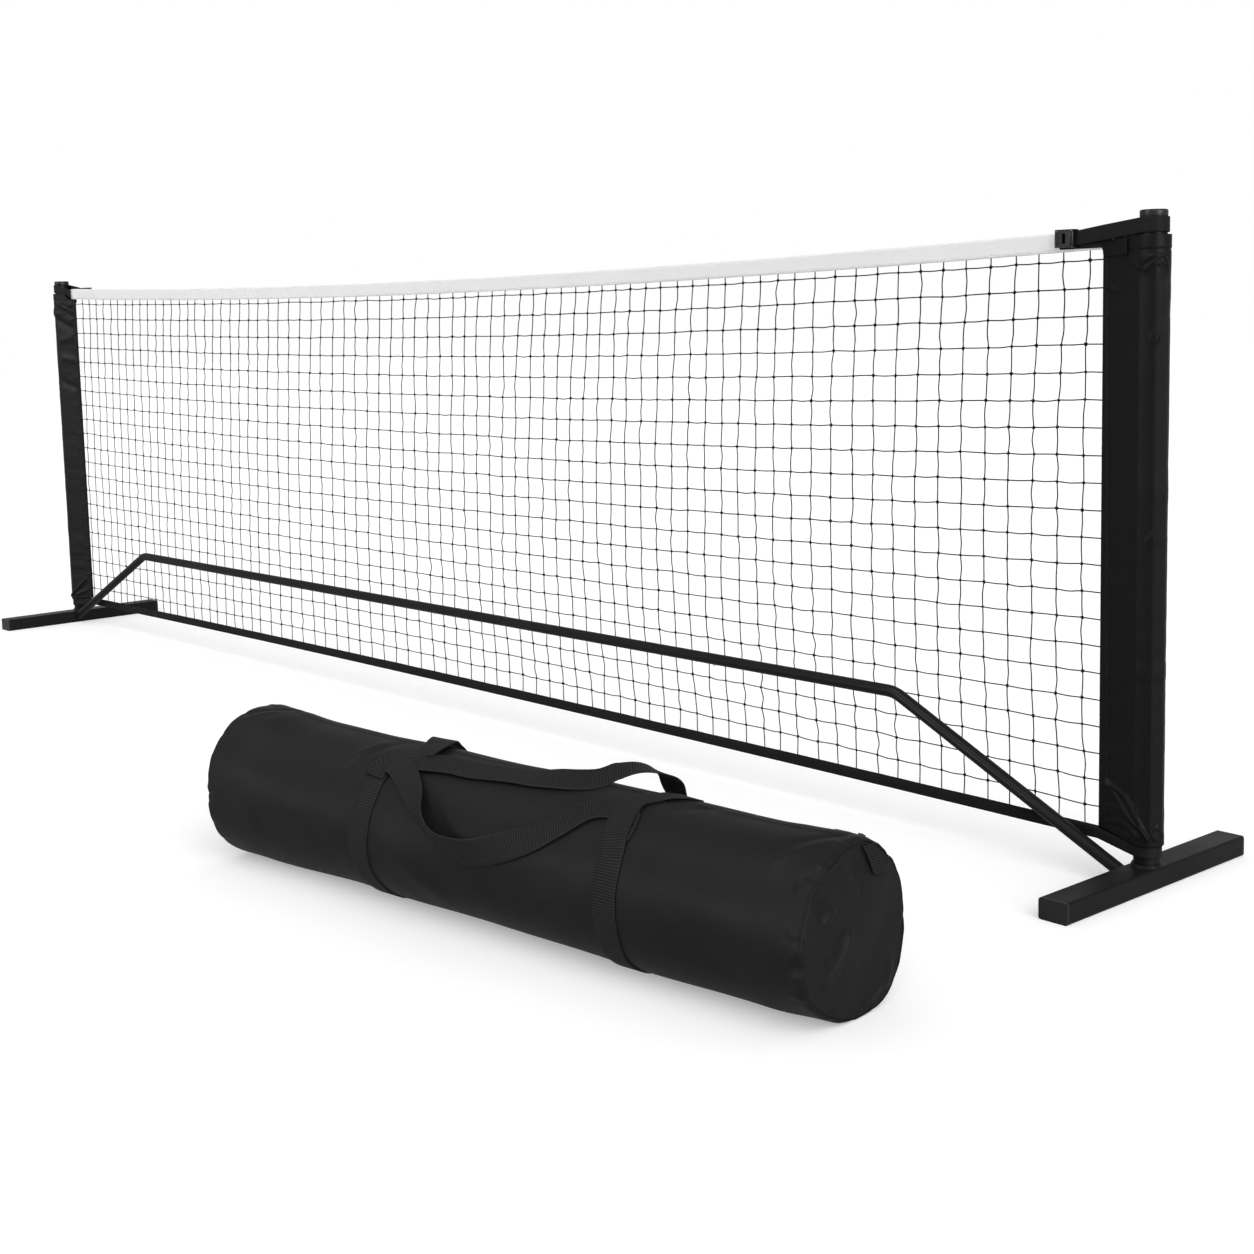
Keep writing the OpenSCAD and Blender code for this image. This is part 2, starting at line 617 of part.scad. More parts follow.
// Points of a loop round the post, from the front to the back, at height z
function loop_points(z) = [for (a = [-98 : 14 : 98]) [post_x + loop_r * cos(a), loop_r * sin(a), z]];

// From the buckle round the post and into the end of the headband, between its layers
module top_strap() {
    end_z = mesh_high + (tape_h - tape_wall) / 2;
    color(soft_black) upright_strip(concat(
        [[buckle_x - buckle_l / 2 - 5, -strap_y, buckle_z], [buckle_x + buckle_l / 2, -strap_y, buckle_z]],
        loop_points(strap_z), [[tape_half + 2, 0, end_z], [mesh_half + 3, 0, end_z]]), strap_w, strap_t);
}

// Patch that carries the buckle: over the end of the headband and the sleeve's corner
module end_patch() {
    low = mesh_high + 2;
    top = sleeve_top - 3;
    left = buckle_x - buckle_l / 2 - 1;
    slope = loop_touch(sleeve_r, sleeve_reach, hem_t / 2) - 90;
    far = mesh_half + patch_over * cos(slope);
    far_y = patch_y + patch_over * sin(slope);
    color(soft_black) intersection() {
        linear_extrude(2 * tape_top) polygon([[left, -patch_y], [left, -patch_y - patch_t],
            [mesh_half, -patch_y - patch_t], [far, -far_y - patch_t], [far, -far_y], [mesh_half, -patch_y]]);
        rotate([90, 0, 0]) linear_extrude(2 * far_y) polygon([[left - 1, low], [mesh_half - 1, low],
            [mesh_half - 1, low - 12], [far + 1, low - 12], [far + 1, top], [mesh_half - 1, top],
            [left - 1, tape_top - 2]]);
    }
}

module low_strap() {
    y = band_t / 2 + near + strap_t / 2;
    z = low_strap_z + low_strap_rise;
    color(soft_black) upright_strip(concat([[mesh_half - 24, -y, z], [mesh_half, -y, z]],
        loop_points(low_strap_z), [[mesh_half, y, z], [mesh_half - 24, y, z]]), low_strap_w, strap_t);
}

module buckle_frame() {
    side_z = strap_w / 2 + near;
    wall_y = pin_y + cam_r - plate_y;
    color(soft_black) translate([buckle_x, -plate_y, buckle_z]) difference() {
        union() {
            translate([-buckle_l / 2, -buckle_t, -side_z - buckle_t])
                cube([buckle_l, buckle_t, 2 * (side_z + buckle_t)]);
            for (s = [0, 1]) mirror([0, 0, s]) translate([-buckle_l / 2, -wall_y, side_z])
                cube([buckle_l, wall_y, buckle_t]);
            translate([-buckle_l / 2, -buckle_t - strap_t - 2 * near - buckle_t, -side_z - bite])
                cube([2.4, buckle_t, 2 * (side_z + bite)]);
        }
        translate([pin_x - buckle_x, plate_y - pin_y, -strap_w])
            cylinder(r = pin_d / 2, h = 2 * strap_w, $fn = 32);
        translate([-buckle_l / 4, -buckle_t - 1, -strap_w / 4]) cube([buckle_l / 3, buckle_t + 2, strap_w / 2]);
    }
}

module buckle_pin() color(steel) translate([pin_x, -pin_y, buckle_z - strap_w / 2 - near - buckle_t])
    cylinder(r = pin_d / 2, h = strap_w + 2 * (near + buckle_t), $fn = 32);

module buckle_cam() {
    h = strap_w;
    l = pin_x - buckle_x + buckle_l / 2;
    color(soft_black) translate([pin_x, -pin_y, buckle_z - h / 2]) difference() {
        union() {
            cylinder(r = cam_r, h = h, $fn = 48);
            translate([-l, -cam_r, 0]) cube([l, thumb_t, h]);
        }
        translate([0, 0, -1]) cylinder(r = pin_d / 2 + 0.05, h = h + 2, $fn = 32);
        for (a = [60 : 15 : 120]) rotate([0, 0, a]) translate([cam_r - 0.4, -0.4, 1]) cube([1, 0.8, h - 2]);
        translate([-l * 0.52, -cam_r - 1, h * 0.16]) cube([l * 0.24, thumb_t + 2, h * 0.68]);
        for (x = [2.5 : 2 : 9]) translate([-l + x, -cam_r - 0.5, 1.5]) cube([0.8, 1, h - 3]);
    }
}

// ---- bag -----------------------------------------------------------------------------

// Circle cut flat low below its centre
module flat_circle(r, low) difference() {
    circle(r, $fn = 128);
    translate([-r - 1, -2 * r - low]) square([2 * r + 2, 2 * r]);
}

module along_bag(x, l) translate([x, 0, 0]) rotate([90, 0, 90]) linear_extrude(l) children();

function band_x(s) = band_shift + s * band_gap / 2;

// Frame at angle a from the top of the bag towards the front
module at_angle(a) rotate([a, 0, 0]) children();

module bag_shell() color(charcoal) at_bag() difference() {
    along_bag(-bag_l / 2 + bag_wall, bag_l - 2 * bag_wall) difference() {
        flat_circle(bag_r, bag_axis_z);
        flat_circle(bag_r - bag_wall, bag_axis_z - bag_wall - webbing_t);
    }
    for (s = [-1, 1]) translate([band_x(s) - webbing_w / 2, -bag_r, -bag_axis_z - 1])
        cube([webbing_w, 2 * bag_r, 1 + webbing_t]);
    at_angle(-zip_angle) translate([-zip_l / 2, -zip_chain_w / 2, bag_r / 2]) cube([zip_l, zip_chain_w, bag_r]);
}

module bag_ends() color(charcoal) at_bag() for (s = [0, 1])
    mirror([s, 0, 0]) along_bag(bag_l / 2 - bag_wall, bag_wall) flat_circle(bag_r, bag_axis_z);

// Angles where a band ends in the front and in the rear handle
band_front = 24;
band_rear = 76;

module bag_band(s) color(soft_black) at_bag() along_bag(band_x(s) - webbing_w / 2, webbing_w) difference() {
    flat_circle(bag_r + webbing_t, bag_axis_z);
    flat_circle(bag_r, bag_axis_z - webbing_t);
    far = 2 * bag_r;
    polygon([[0, 0], [-far * sin(band_front), far * cos(band_front)], [0, 2 * far],
        [far * sin(band_rear), far * cos(band_rear)]]);
}

// A handle through places [along the bag, angle from the top to the front, height above it]
module handle(places, steps) {
    q = smooth(places, steps);
    p = [for (k = q) [k[0], -(bag_r + k[2]) * sin(k[1]), (bag_r + k[2]) * cos(k[1])]];
    out = [for (k = q) [0, -sin(k[1]), cos(k[1])]];
    color(soft_black) at_bag()
        strip(p, [for (i = [0 : len(p) - 1]) unit(cross(out[i], along(p, i)))], webbing_w, webbing_t);
}

// Height of a webbing's middle where it lies on the bag and where it lies on a band
lie = webbing_t / 2 + near;
on_band = webbing_t * 1.5 + near;

module bag_front_handle() handle([
    [band_x(-1), 44, on_band], [band_x(-1), 30, on_band + 1], [band_x(-1) + 20, 22, 8],
    [band_x(-1) + 49, 34, 7], [band_x(-1) + 100, 54, 5], [-52, 70, 4], [-4, 78, 3], [40, 79, 3],
    [84, 71, 3], [128, 59, 3], [168, 44, 4], [204, 29, 7], [band_x(1) - 8, 22, 9],
    [band_x(1), 32, on_band + 2], [band_x(1), 46, on_band]], 3);

module bag_rear_handle() handle([
    [band_x(-1), -98, on_band], [band_x(-1), -82, on_band], [band_x(-1) + 2, -66, 6],
    [band_x(-1) + 6, -44, 22], [band_x(-1) + 22, -22, 30], [band_x(-1) + 52, -2, 18],
    [-102, 11, 6], [-40, 13, 3], [28, 10, 3], [84, 3, 5], [134, -6, 12], [178, -15, 30],
    [216, -26, 40], [band_x(1) - 4, -44, 34], [band_x(1), -64, 9], [band_x(1), -82, on_band + 0.7],
    [band_x(1), -98, on_band]], 3);

tab_w = 28;
tab_l = 38;
module bag_end_tab() color(soft_black) at_bag() at_angle(-16)
    translate([bag_l / 2, -tab_w / 2, bag_r - tab_l - 4]) difference() {
        cube([2 * webbing_t + 2, tab_w, tab_l]);
        translate([webbing_t, -1, 10]) cube([2, tab_w + 2, tab_l - 20]);
    }

module zip_tapes() color(soft_black) at_bag() at_angle(-zip_angle) for (s = [0, 1])
    mirror([0, s, 0]) difference() {
        along_bag(-zip_l / 2, zip_l) intersection() {
            difference() {
                circle(bag_r + zip_tape_t, $fn = 128);
                circle(bag_r, $fn = 128);
            }
            translate([zip_chain_w / 2, bag_r / 2]) square([zip_tape_w, bag_r]);
        }
    }

module zip_chain() color(black) at_bag() at_angle(-zip_angle)
    translate([-zip_l / 2, -zip_chain_w / 2, bag_r - bag_wall]) cube([zip_l, zip_chain_w, bag_wall + zip_chain_h]);

slider_l = 13;
slider_w = 10;
slider_x = zip_l / 2 - slider_l - 6;
slider_base = bag_r + zip_chain_h + near;
puller_pin_z = slider_base + 4.2;

module zip_slider() color(steel) at_bag() at_angle(-zip_angle) translate([slider_x, 0, 0]) difference() {
    union() {
        translate([0, -slider_w / 2, slider_base]) cube([slider_l, slider_w, 2]);
        for (s = [0, 1]) mirror([0, s, 0]) translate([3, 1.4, slider_base + 1]) cube([7, 1.6, 5.4]);
    }
    translate([6.5, -slider_w, puller_pin_z]) rotate([-90, 0, 0]) cylinder(r = 0.9, h = 2 * slider_w, $fn = 24);
}

module zip_puller() color(steel) at_bag() at_angle(-zip_angle) translate([slider_x + 6.5, 0, puller_pin_z]) {
    translate([0, -3.4, 0]) rotate([-90, 0, 0]) cylinder(r = 0.85, h = 6.8, $fn = 24);
    difference() {
        translate([-34, -1, -0.8]) cube([34, 2, 1.6]);
        translate([-40, -2, -2]) cube([6, 4, 4]);
    }
    difference() {
        translate([-36, -4, -0.8]) cube([22, 8, 1.6]);
        translate([-32, 0, -2]) cylinder(r = 2, h = 4, $fn = 24);
    }
}

// ---- nodes ---------------------------------------------------------------------------

at_right() foot();  // right_foot
at_left() foot();  // left_foot
at_right() foot_caps();  // right_foot_caps
at_left() foot_caps();  // left_foot_caps
at_right() post_stub();  // right_post_stub
at_left() post_stub();  // left_post_stub
at_right() brace_stub();  // right_brace_stub
at_left() brace_stub();  // left_brace_stub
at_right() lower_post();  // right_lower_post
at_left() lower_post();  // left_lower_post
at_right() upper_post();  // right_upper_post
at_left() upper_post();  // left_upper_post
at_right() post_cap();  // right_post_cap
at_left() post_cap();  // left_post_cap
at_right() post_button();  // right_post_button
at_left() post_button();  // left_post_button
at_right() post_clip();  // right_post_clip
at_left() post_clip();  // left_post_clip
placed() crossbar_right_end();
placed() crossbar_middle(0, bar_spigot / 2);  // crossbar_right_middle
placed() crossbar_middle(-bar_middle_l, bar_spigot / 2);  // crossbar_left_middle
placed() crossbar_left_end();
placed() crossbar_button(2);  // crossbar_button_right
placed() crossbar_button(1);  // crossbar_button_centre
placed() crossbar_button(0);  // crossbar_button_left
placed() crossbar_clip(2);  // crossbar_clip_right
placed() crossbar_clip(1);  // crossbar_clip_centre
placed() crossbar_clip(0);  // crossbar_clip_left
netting();
headband();
headband_webbing();
bottom_band();
at_right() sleeve();  // right_sleeve
at_left() sleeve();  // left_sleeve
at_right() top_strap();  // right_top_strap
at_left_turned() top_strap();  // left_top_strap
at_right() low_strap();  // right_low_strap
at_left() low_strap();  // left_low_strap
at_right() buckle_frame();  // right_buckle_frame
at_left_turned() buckle_frame();  // left_buckle_frame
at_right() buckle_cam();  // right_buckle_cam
at_left_turned() buckle_cam();  // left_buckle_cam
at_right() buckle_pin();  // right_buckle_pin
at_left_turned() buckle_pin();  // left_buckle_pin
at_right() end_patch();  // right_end_patch
at_left_turned() end_patch();  // left_end_patch
bag_shell();
bag_ends();
bag_band(-1);  // bag_left_band
bag_band(1);  // bag_right_band
bag_front_handle();
bag_rear_handle();
bag_end_tab();
zip_tapes();
zip_chain();
zip_slider();
zip_puller();
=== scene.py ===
"""Looks of the portable net: knotted twine, white headband, gathered post sleeves,
ribbed straps and the soft zipped carry bag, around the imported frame."""

import json
import math

import bmesh
import bpy
import numpy as np
from mathutils import Matrix, Vector


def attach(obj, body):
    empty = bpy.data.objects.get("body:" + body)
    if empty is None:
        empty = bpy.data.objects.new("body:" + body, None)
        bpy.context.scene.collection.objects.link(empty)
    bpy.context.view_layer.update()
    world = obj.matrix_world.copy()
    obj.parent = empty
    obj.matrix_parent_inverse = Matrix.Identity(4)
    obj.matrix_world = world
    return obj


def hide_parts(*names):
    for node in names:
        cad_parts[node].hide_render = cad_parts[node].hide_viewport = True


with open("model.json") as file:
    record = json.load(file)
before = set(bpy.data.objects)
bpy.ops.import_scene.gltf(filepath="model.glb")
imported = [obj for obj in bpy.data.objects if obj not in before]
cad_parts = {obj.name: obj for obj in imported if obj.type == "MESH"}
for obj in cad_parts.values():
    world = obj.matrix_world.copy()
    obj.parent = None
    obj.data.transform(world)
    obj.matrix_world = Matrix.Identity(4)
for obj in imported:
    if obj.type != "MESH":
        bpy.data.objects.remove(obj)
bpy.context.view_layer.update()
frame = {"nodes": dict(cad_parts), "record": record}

# ---- sizes in millimetres, with the net's middle at the origin ----------------------

POST_X, POST_R = 1680.0, 18.0
REACH = 77.0
MESH_HALF = POST_X - REACH
MESH_LOW, MESH_HIGH = 70.0, 876.0
TAPE_TOP, TAPE_SAG = 903.0, 24.0
TAPE_HALF = MESH_HALF + 17.0
NET_COLUMNS, NET_ROWS = 76, 21
SLEEVE_TOP, SLEEVE_R = 892.0, POST_R + 4.0 + 1.2
STRAP_Z, LOW_STRAP_Z = 905.0, 52.0
BUCKLE_X, BUCKLE_L, BUCKLE_Z = MESH_HALF - 53.0, 30.0, 892.5
PATCH_Y = 3.1
STRAP_Y = PATCH_Y + 1.2 + 0.3 + 1.6 + 0.3 + 1.0
LOOP_R = POST_R + 0.8 + 1.0
FOOT_L, FOOT_W = 434.0, 46.0
BAG_L, BAG_R, BAG_FLAT, BAG_TURN = 1100.0, 106.0, 3.0, math.radians(5.8)
BAG_AT = np.array([1171.0, -705.0, BAG_R - BAG_FLAT])
BAG_SEAM = BAG_L / 2 + 6
ZIP_ANGLE, ZIP_L = -34.0, BAG_L - 40
WEBBING_W, WEBBING_T, TAB_W = 38.0, 2.0, 27.0
STRAP_WIDTHS = {"_top_strap": 21, "_low_strap": 16}
TOOTH_PITCH, STITCH_PITCH = 2.6, 3.4
THIN_CLOTH, BAG_CLOTH = 0.8, 1.2
BAND_AT = (-200.0, 260.0)
SHIFT = np.array([
    -(BAG_AT[0] + BAG_L / 2 * math.cos(BAG_TURN) + BAG_R * math.sin(BAG_TURN) - POST_X - FOOT_W / 2) / 2,
    -(FOOT_L / 2 + BAG_AT[1] - BAG_L / 2 * math.sin(BAG_TURN) - BAG_R * math.cos(BAG_TURN)) / 2, 0.0])

rng = np.random.default_rng(11)


# ---- camera and stage ---------------------------------------------------------------

# Camera: turn from the front, rise and roll in degrees, the point it looks at and how far off
CAMERA_ANGLES, CAMERA_AIM, CAMERA_FAR = (48.73, 7.10, -1.37), (606, 0, 400), 3286
SENSOR, PICTURE, FOCAL, MIDDLE_Y = 36, 1254, 1827, 540  # millimetres, then pixels

# Lamps: name, way to the lamp, strength, width in degrees and whether it only makes glints
LAMPS = [
    ("soft_key", (0.76, -0.36, 0.54), 2.0, 60, False),
    ("glint_above", (-0.27, -0.45, 0.85), 5, 12, True),
    ("glint_side", (-0.37, -0.90, 0.20), 5, 16, True),
    ("glint_right", (0.98, -0.15, 0.16), 10, 24, True),
]
ROOM_LIGHT, FLOOR_SHADE, FLOOR_GLOW, FLOOR_HALF = 0.6, 0.82, 0.32, 30


def add_object(name, data):
    ob = bpy.data.objects.new(name, data)
    bpy.context.scene.collection.objects.link(ob)
    return ob


def new_nodes(tree, *kinds):
    return [tree.nodes.new(kind) for kind in kinds]


def chain(tree, *nodes):
    """Links each node's first output to the next one's first input."""
    for a, b in zip(nodes, nodes[1:]):
        tree.links.new(a.outputs[0], b.inputs[0])


def aim_camera():
    azimuth, height, roll = np.radians(CAMERA_ANGLES)
    level = math.cos(height)
    back = Vector((math.sin(azimuth) * level, -math.cos(azimuth) * level, math.sin(height)))
    right = (-back).cross(Vector((0, 0, 1))).normalized()
    up = right.cross(-back)
    side = right * math.cos(roll) + up * math.sin(roll)
    top = up * math.cos(roll) - right * math.sin(roll)
    at = Vector(CAMERA_AIM) + back * CAMERA_FAR + Vector(SHIFT)
    data = bpy.data.cameras.new("camera")
    data.sensor_width, data.lens = SENSOR, SENSOR * FOCAL / PICTURE
    data.shift_y = (MIDDLE_Y - PICTURE / 2) / PICTURE
    data.clip_end = 100
    camera = add_object("camera", data)
    camera.matrix_world = Matrix(
        [[side[i], top[i], back[i], at[i] / 1000] for i in range(3)] + [[0, 0, 0, 1]])
    bpy.context.scene.camera = camera


def hang_lamp(name, way, strength, degrees, glints_only):
    """A far soft lamp that shines from the direction given."""
    data = bpy.data.lights.new(name, "SUN")
    data.energy, data.angle = strength, math.radians(degrees)
    lamp = add_object(name, data)
    lamp.rotation_euler = (-Vector(way)).to_track_quat("-Z", "Y").to_euler()
    lamp.visible_diffuse = not glints_only


def backdrop_rays(nt):
    """1 for rays that end on the white backdrop: seen, mirrored or through glass."""
    path, m = nt.nodes.new("ShaderNodeLightPath"), Maths(nt)
    return m.do("MAXIMUM", path.outputs["Is Camera Ray"],
                m.do("MAXIMUM", path.outputs["Is Glossy Ray"], path.outputs["Is Transmission Ray"]))


def light_stage():
    world = bpy.data.worlds.new("studio")
    bpy.context.scene.world = world
    world.use_nodes = True
    nt = world.node_tree
    nt.nodes.clear()
    out, mix, light, seen = new_nodes(
        nt, "ShaderNodeOutputWorld", "ShaderNodeMixShader", "ShaderNodeBackground", "ShaderNodeBackground")
    for node, strength, socket in ((light, ROOM_LIGHT, 1), (seen, 1.0, 2)):
        node.inputs[0].default_value, node.inputs[1].default_value = (1, 1, 1, 1), strength
        nt.links.new(node.outputs[0], mix.inputs[socket])
    nt.links.new(backdrop_rays(nt), mix.inputs[0])
    nt.links.new(mix.outputs[0], out.inputs[0])
    for lamp in LAMPS:
        hang_lamp(*lamp)

    floor = bpy.data.meshes.new("floor")
    corners = [(x * FLOOR_HALF, y * FLOOR_HALF, 0) for x, y in ((-1, -1), (1, -1), (1, 1), (-1, 1))]
    floor.from_pydata(corners, [], [(0, 1, 2, 3)])
    ground = add_object("floor", floor)
    material, nt, shader = plain_material("pale_floor")
    shader.inputs["Base Color"].default_value = (FLOOR_SHADE, FLOOR_SHADE, FLOOR_SHADE, 1)
    shader.inputs["Roughness"].default_value = 1.0
    shader.inputs["Specular IOR Level"].default_value = 0.0
    glow, both = new_nodes(nt, "ShaderNodeEmission", "ShaderNodeAddShader")
    glow.inputs[0].default_value = (1, 1, 1, 1)
    nt.links.new(Maths(nt).do("MULTIPLY", backdrop_rays(nt), FLOOR_GLOW), glow.inputs[1])
    nt.links.new(glow.outputs[0], both.inputs[1])
    chain(nt, shader, both, nt.nodes["Material Output"])
    floor.materials.append(material)


# ---- finishes -----------------------------------------------------------------------


def plain_material(name):
    material = bpy.data.materials.new(name)
    material.use_nodes = True
    nt = material.node_tree
    nt.nodes.clear()
    out = nt.nodes.new("ShaderNodeOutputMaterial")
    out.name = "Material Output"
    shader = nt.nodes.new("ShaderNodeBsdfPrincipled")
    nt.links.new(shader.outputs[0], out.inputs[0])
    return material, nt, shader


def new_group(name, ins, outs, kind="ShaderNodeTree"):
    """An empty node group with its sockets: label, kind and, for the inputs, usual value."""
    group = bpy.data.node_groups.new(name, kind)
    for label, what, value in ins:
        socket = group.interface.new_socket(label, in_out="INPUT", socket_type="NodeSocket" + what)
        if value is not None:
            socket.default_value = value
    for label, what in outs:
        group.interface.new_socket(label, in_out="OUTPUT", socket_type="NodeSocket" + what)
    return group, *new_nodes(group, "NodeGroupInput", "NodeGroupOutput")


class Maths:
    """Short calls for a node tree's arithmetic."""

    def __init__(self, tree):
        self.tree = tree

    def put(self, value, socket):
        if isinstance(value, (int, float)):
            socket.default_value = value
        else:
            self.tree.links.new(value, socket)

    def do(self, operation, a, b=None, c=None):
        node = self.tree.nodes.new("ShaderNodeMath")
        node.operation = operation
        for value, socket in zip((a, b, c), node.inputs):
            if value is not None:
                self.put(value, socket)
        return node.outputs[0]

    def noise(self, vector, scale, detail=2.0, rough=0.5):
        node = self.tree.nodes.new("ShaderNodeTexNoise")
        self.put(vector, node.inputs["Vector"])
        self.put(scale, node.inputs["Scale"])
        node.inputs["Detail"].default_value = detail
        node.inputs["Roughness"].default_value = rough
        return node.outputs["Fac"]

    def mix(self, share, a, b):
        node = self.tree.nodes.new("ShaderNodeMix")
        node.data_type = "RGBA"
        self.put(share, node.inputs[0])
        for value, socket in ((a, node.inputs[6]), (b, node.inputs[7])):
            if isinstance(value, tuple):
                socket.default_value = (*value, 1)
            else:
                self.tree.links.new(value, socket)
        return node.outputs[2]

    def fit(self, value, low, high, to_low=0.0, to_high=1.0):
        node = self.tree.nodes.new("ShaderNodeMapRange")
        self.put(value, node.inputs[0])
        for number, socket in zip((low, high, to_low, to_high), list(node.inputs)[1:5]):
            self.put(number, socket)
        return node.outputs[0]

    def axes(self, vector):
        node = self.tree.nodes.new("ShaderNodeSeparateXYZ")
        self.tree.links.new(vector, node.inputs[0])
        return node.outputs

    def bump(self, height, strength, distance, below=None):
        node = self.tree.nodes.new("ShaderNodeBump")
        node.inputs["Strength"].default_value = strength
        node.inputs["Distance"].default_value = distance
        self.tree.links.new(height, node.inputs["Height"])
        if below is not None:
            self.tree.links.new(below, node.inputs["Normal"])
        return node.outputs[0]


def weave_group():
    """Plain weave on a flat map in metres: each thread a small ridge, over and under. Its shade output is
    painted shade, darker in the dips between threads, mixed with random tone.
    """
    group, start, end = new_group(
        "woven_threads", [("Map", "Vector", None), ("Pitch", "Float", 0.0012)],
        [("Height", "Float"), ("Shade", "Float")])
    m = Maths(group)
    wander = m.do("MULTIPLY", m.do("SUBTRACT", m.noise(start.outputs["Map"], 90.0), 0.5), 1.4)
    xyz = m.axes(start.outputs["Map"])
    x = m.do("ADD", m.do("DIVIDE", xyz[0], start.outputs["Pitch"]), wander)
    y = m.do("ADD", m.do("DIVIDE", xyz[1], start.outputs["Pitch"]), wander)
    over = m.do("MODULO", m.do("ADD", m.do("FLOOR", x), m.do("ADD", m.do("FLOOR", y), 4000.0)), 2.0)
    warp = m.do("ABSOLUTE", m.do("SINE", m.do("MULTIPLY", x, math.pi)))
    weft = m.do("ABSOLUTE", m.do("SINE", m.do("MULTIPLY", y, math.pi)))
    height = m.do("ADD", m.do("MULTIPLY", warp, over), m.do("MULTIPLY", weft, m.do("SUBTRACT", 1.0, over)))
    group.links.new(height, end.inputs["Height"])
    cloud = m.noise(start.outputs["Map"], 14.0, 4.0)
    # painted shade: the colour share follows the threads' height, darker in their dips, mixed with a random
    # cloud of tone
    shade = m.do("ADD", m.do("MULTIPLY", height, 0.4), m.do("MULTIPLY", cloud, 0.6))
    group.links.new(shade, end.inputs["Shade"])
    return group


def rib_group():
    """Webbing: ribs across the strap, lines along it in the share given, tight edges. Its shade output is
    painted shade, darker in the grooves between ribs, mixed with random fuzz.
    """
    group, start, end = new_group(
        "webbing_ribs", [("Map", "Vector", None), ("Pitch", "Float", 0.0028), ("Half", "Float", 0.019),
                         ("Lengthwise", "Float", 0.2)],
        [("Height", "Float"), ("Shade", "Float")])
    m = Maths(group)
    xyz = m.axes(start.outputs["Map"])
    wander = m.do("MULTIPLY", m.do("SUBTRACT", m.noise(start.outputs["Map"], 160.0), 0.5), 0.5)
    x = m.do("ADD", m.do("DIVIDE", xyz[0], start.outputs["Pitch"]), wander)
    y = m.do("DIVIDE", xyz[1], start.outputs["Pitch"])
    rib = m.do("ABSOLUTE", m.do("SINE", m.do("MULTIPLY", x, math.pi)))
    row = m.do("ABSOLUTE", m.do("SINE", m.do("MULTIPLY", y, math.pi * 1.6)))
    edge = m.fit(m.do("ABSOLUTE", m.do("DIVIDE", xyz[1], start.outputs["Half"])), 0.86, 0.93)
    share = start.outputs["Lengthwise"]
    body = m.do("ADD", m.do("MULTIPLY", rib, m.do("SUBTRACT", 1.0, share)), m.do("MULTIPLY", row, share))
    height = m.do("ADD", m.do("MULTIPLY", body, m.do("SUBTRACT", 1.0, edge)), m.do("MULTIPLY", edge, 0.8))
    group.links.new(height, end.inputs["Height"])
    fuzz = m.noise(start.outputs["Map"], 400.0, 3.0)
    # painted shade: the colour share follows the ribs' height, darker in the grooves, mixed with random fuzz
    shade = m.do("ADD", m.do("MULTIPLY", height, 0.7), m.do("MULTIPLY", fuzz, 0.3))
    group.links.new(shade, end.inputs["Shade"])
    return group


def grain_group():
    """Fine pebbled grain of powder coat and moulded plastic, with broad cloudiness."""
    group, start, end = new_group(
        "fine_grain", [("Place", "Vector", None), ("Size", "Float", 900.0)],
        [("Height", "Float"), ("Cloud", "Float")])
    m = Maths(group)
    group.links.new(m.noise(start.outputs["Place"], start.outputs["Size"], 3.0, 0.6), end.inputs["Height"])
    group.links.new(m.noise(start.outputs["Place"], 7.0, 4.0, 0.6), end.inputs["Cloud"])
    return group


WEAVE, RIBS, GRAIN = weave_group(), rib_group(), grain_group()
SHADES = (0.2, 0.8)  # range of a weave's shade over which its polish changes


def use_group(nt, group, source, values):
    node = nt.nodes.new("ShaderNodeGroup")
    node.node_tree = group
    place = nt.nodes.new("ShaderNodeTexCoord")
    nt.links.new(place.outputs[source], node.inputs[0])
    for label, value in values.items():
        node.inputs[label].default_value = value
    return node


def finish_shader(m, shader, colour, relief, polish, shine):
    """Links a finish's colour, normal and roughness to its shader."""
    for value, label in ((colour, "Base Color"), (relief, "Normal"), (polish, "Roughness")):
        m.put(value, shader.inputs[label])
    shader.inputs["Specular IOR Level"].default_value = shine


def cloth_material(name, dark, light, pitch, rough=0.8, depth=0.00025, broad=0.0, shine=0.04):
    """Woven cloth: threads of the pitch given, slow waves as deep as broad, all in metres."""
    material, nt, shader = plain_material(name)
    m = Maths(nt)
    threads = use_group(nt, WEAVE, "UV", {"Pitch": pitch}).outputs
    waves = None
    if broad:
        place = nt.nodes.new("ShaderNodeTexCoord")
        waves = m.bump(m.noise(place.outputs["UV"], 16.0, 3.0, 0.55), 0.6, broad)
    # colour mixes dark to light by the threads' shade, which holds painted shade in the dips between threads
    finish_shader(
        m, shader, m.mix(threads["Shade"], dark, light), m.bump(threads["Height"], 0.5, depth, waves),
        m.fit(threads["Shade"], *SHADES, rough + 0.06, rough - 0.06), shine)
    return material


def webbing_material(name, dark, light, pitch, half, lengthwise, depth):
    material, nt, shader = plain_material(name)
    m = Maths(nt)
    ribs = use_group(nt, RIBS, "UV", {"Pitch": pitch, "Half": half, "Lengthwise": lengthwise}).outputs
    # colour mixes dark to light by the ribs' shade, which holds painted shade in the grooves between ribs
    finish_shader(
        m, shader, m.mix(ribs["Shade"], dark, light), m.bump(ribs["Height"], 0.7, depth),
        m.fit(ribs["Shade"], *SHADES, 0.72, 0.55), 0.03)
    return material


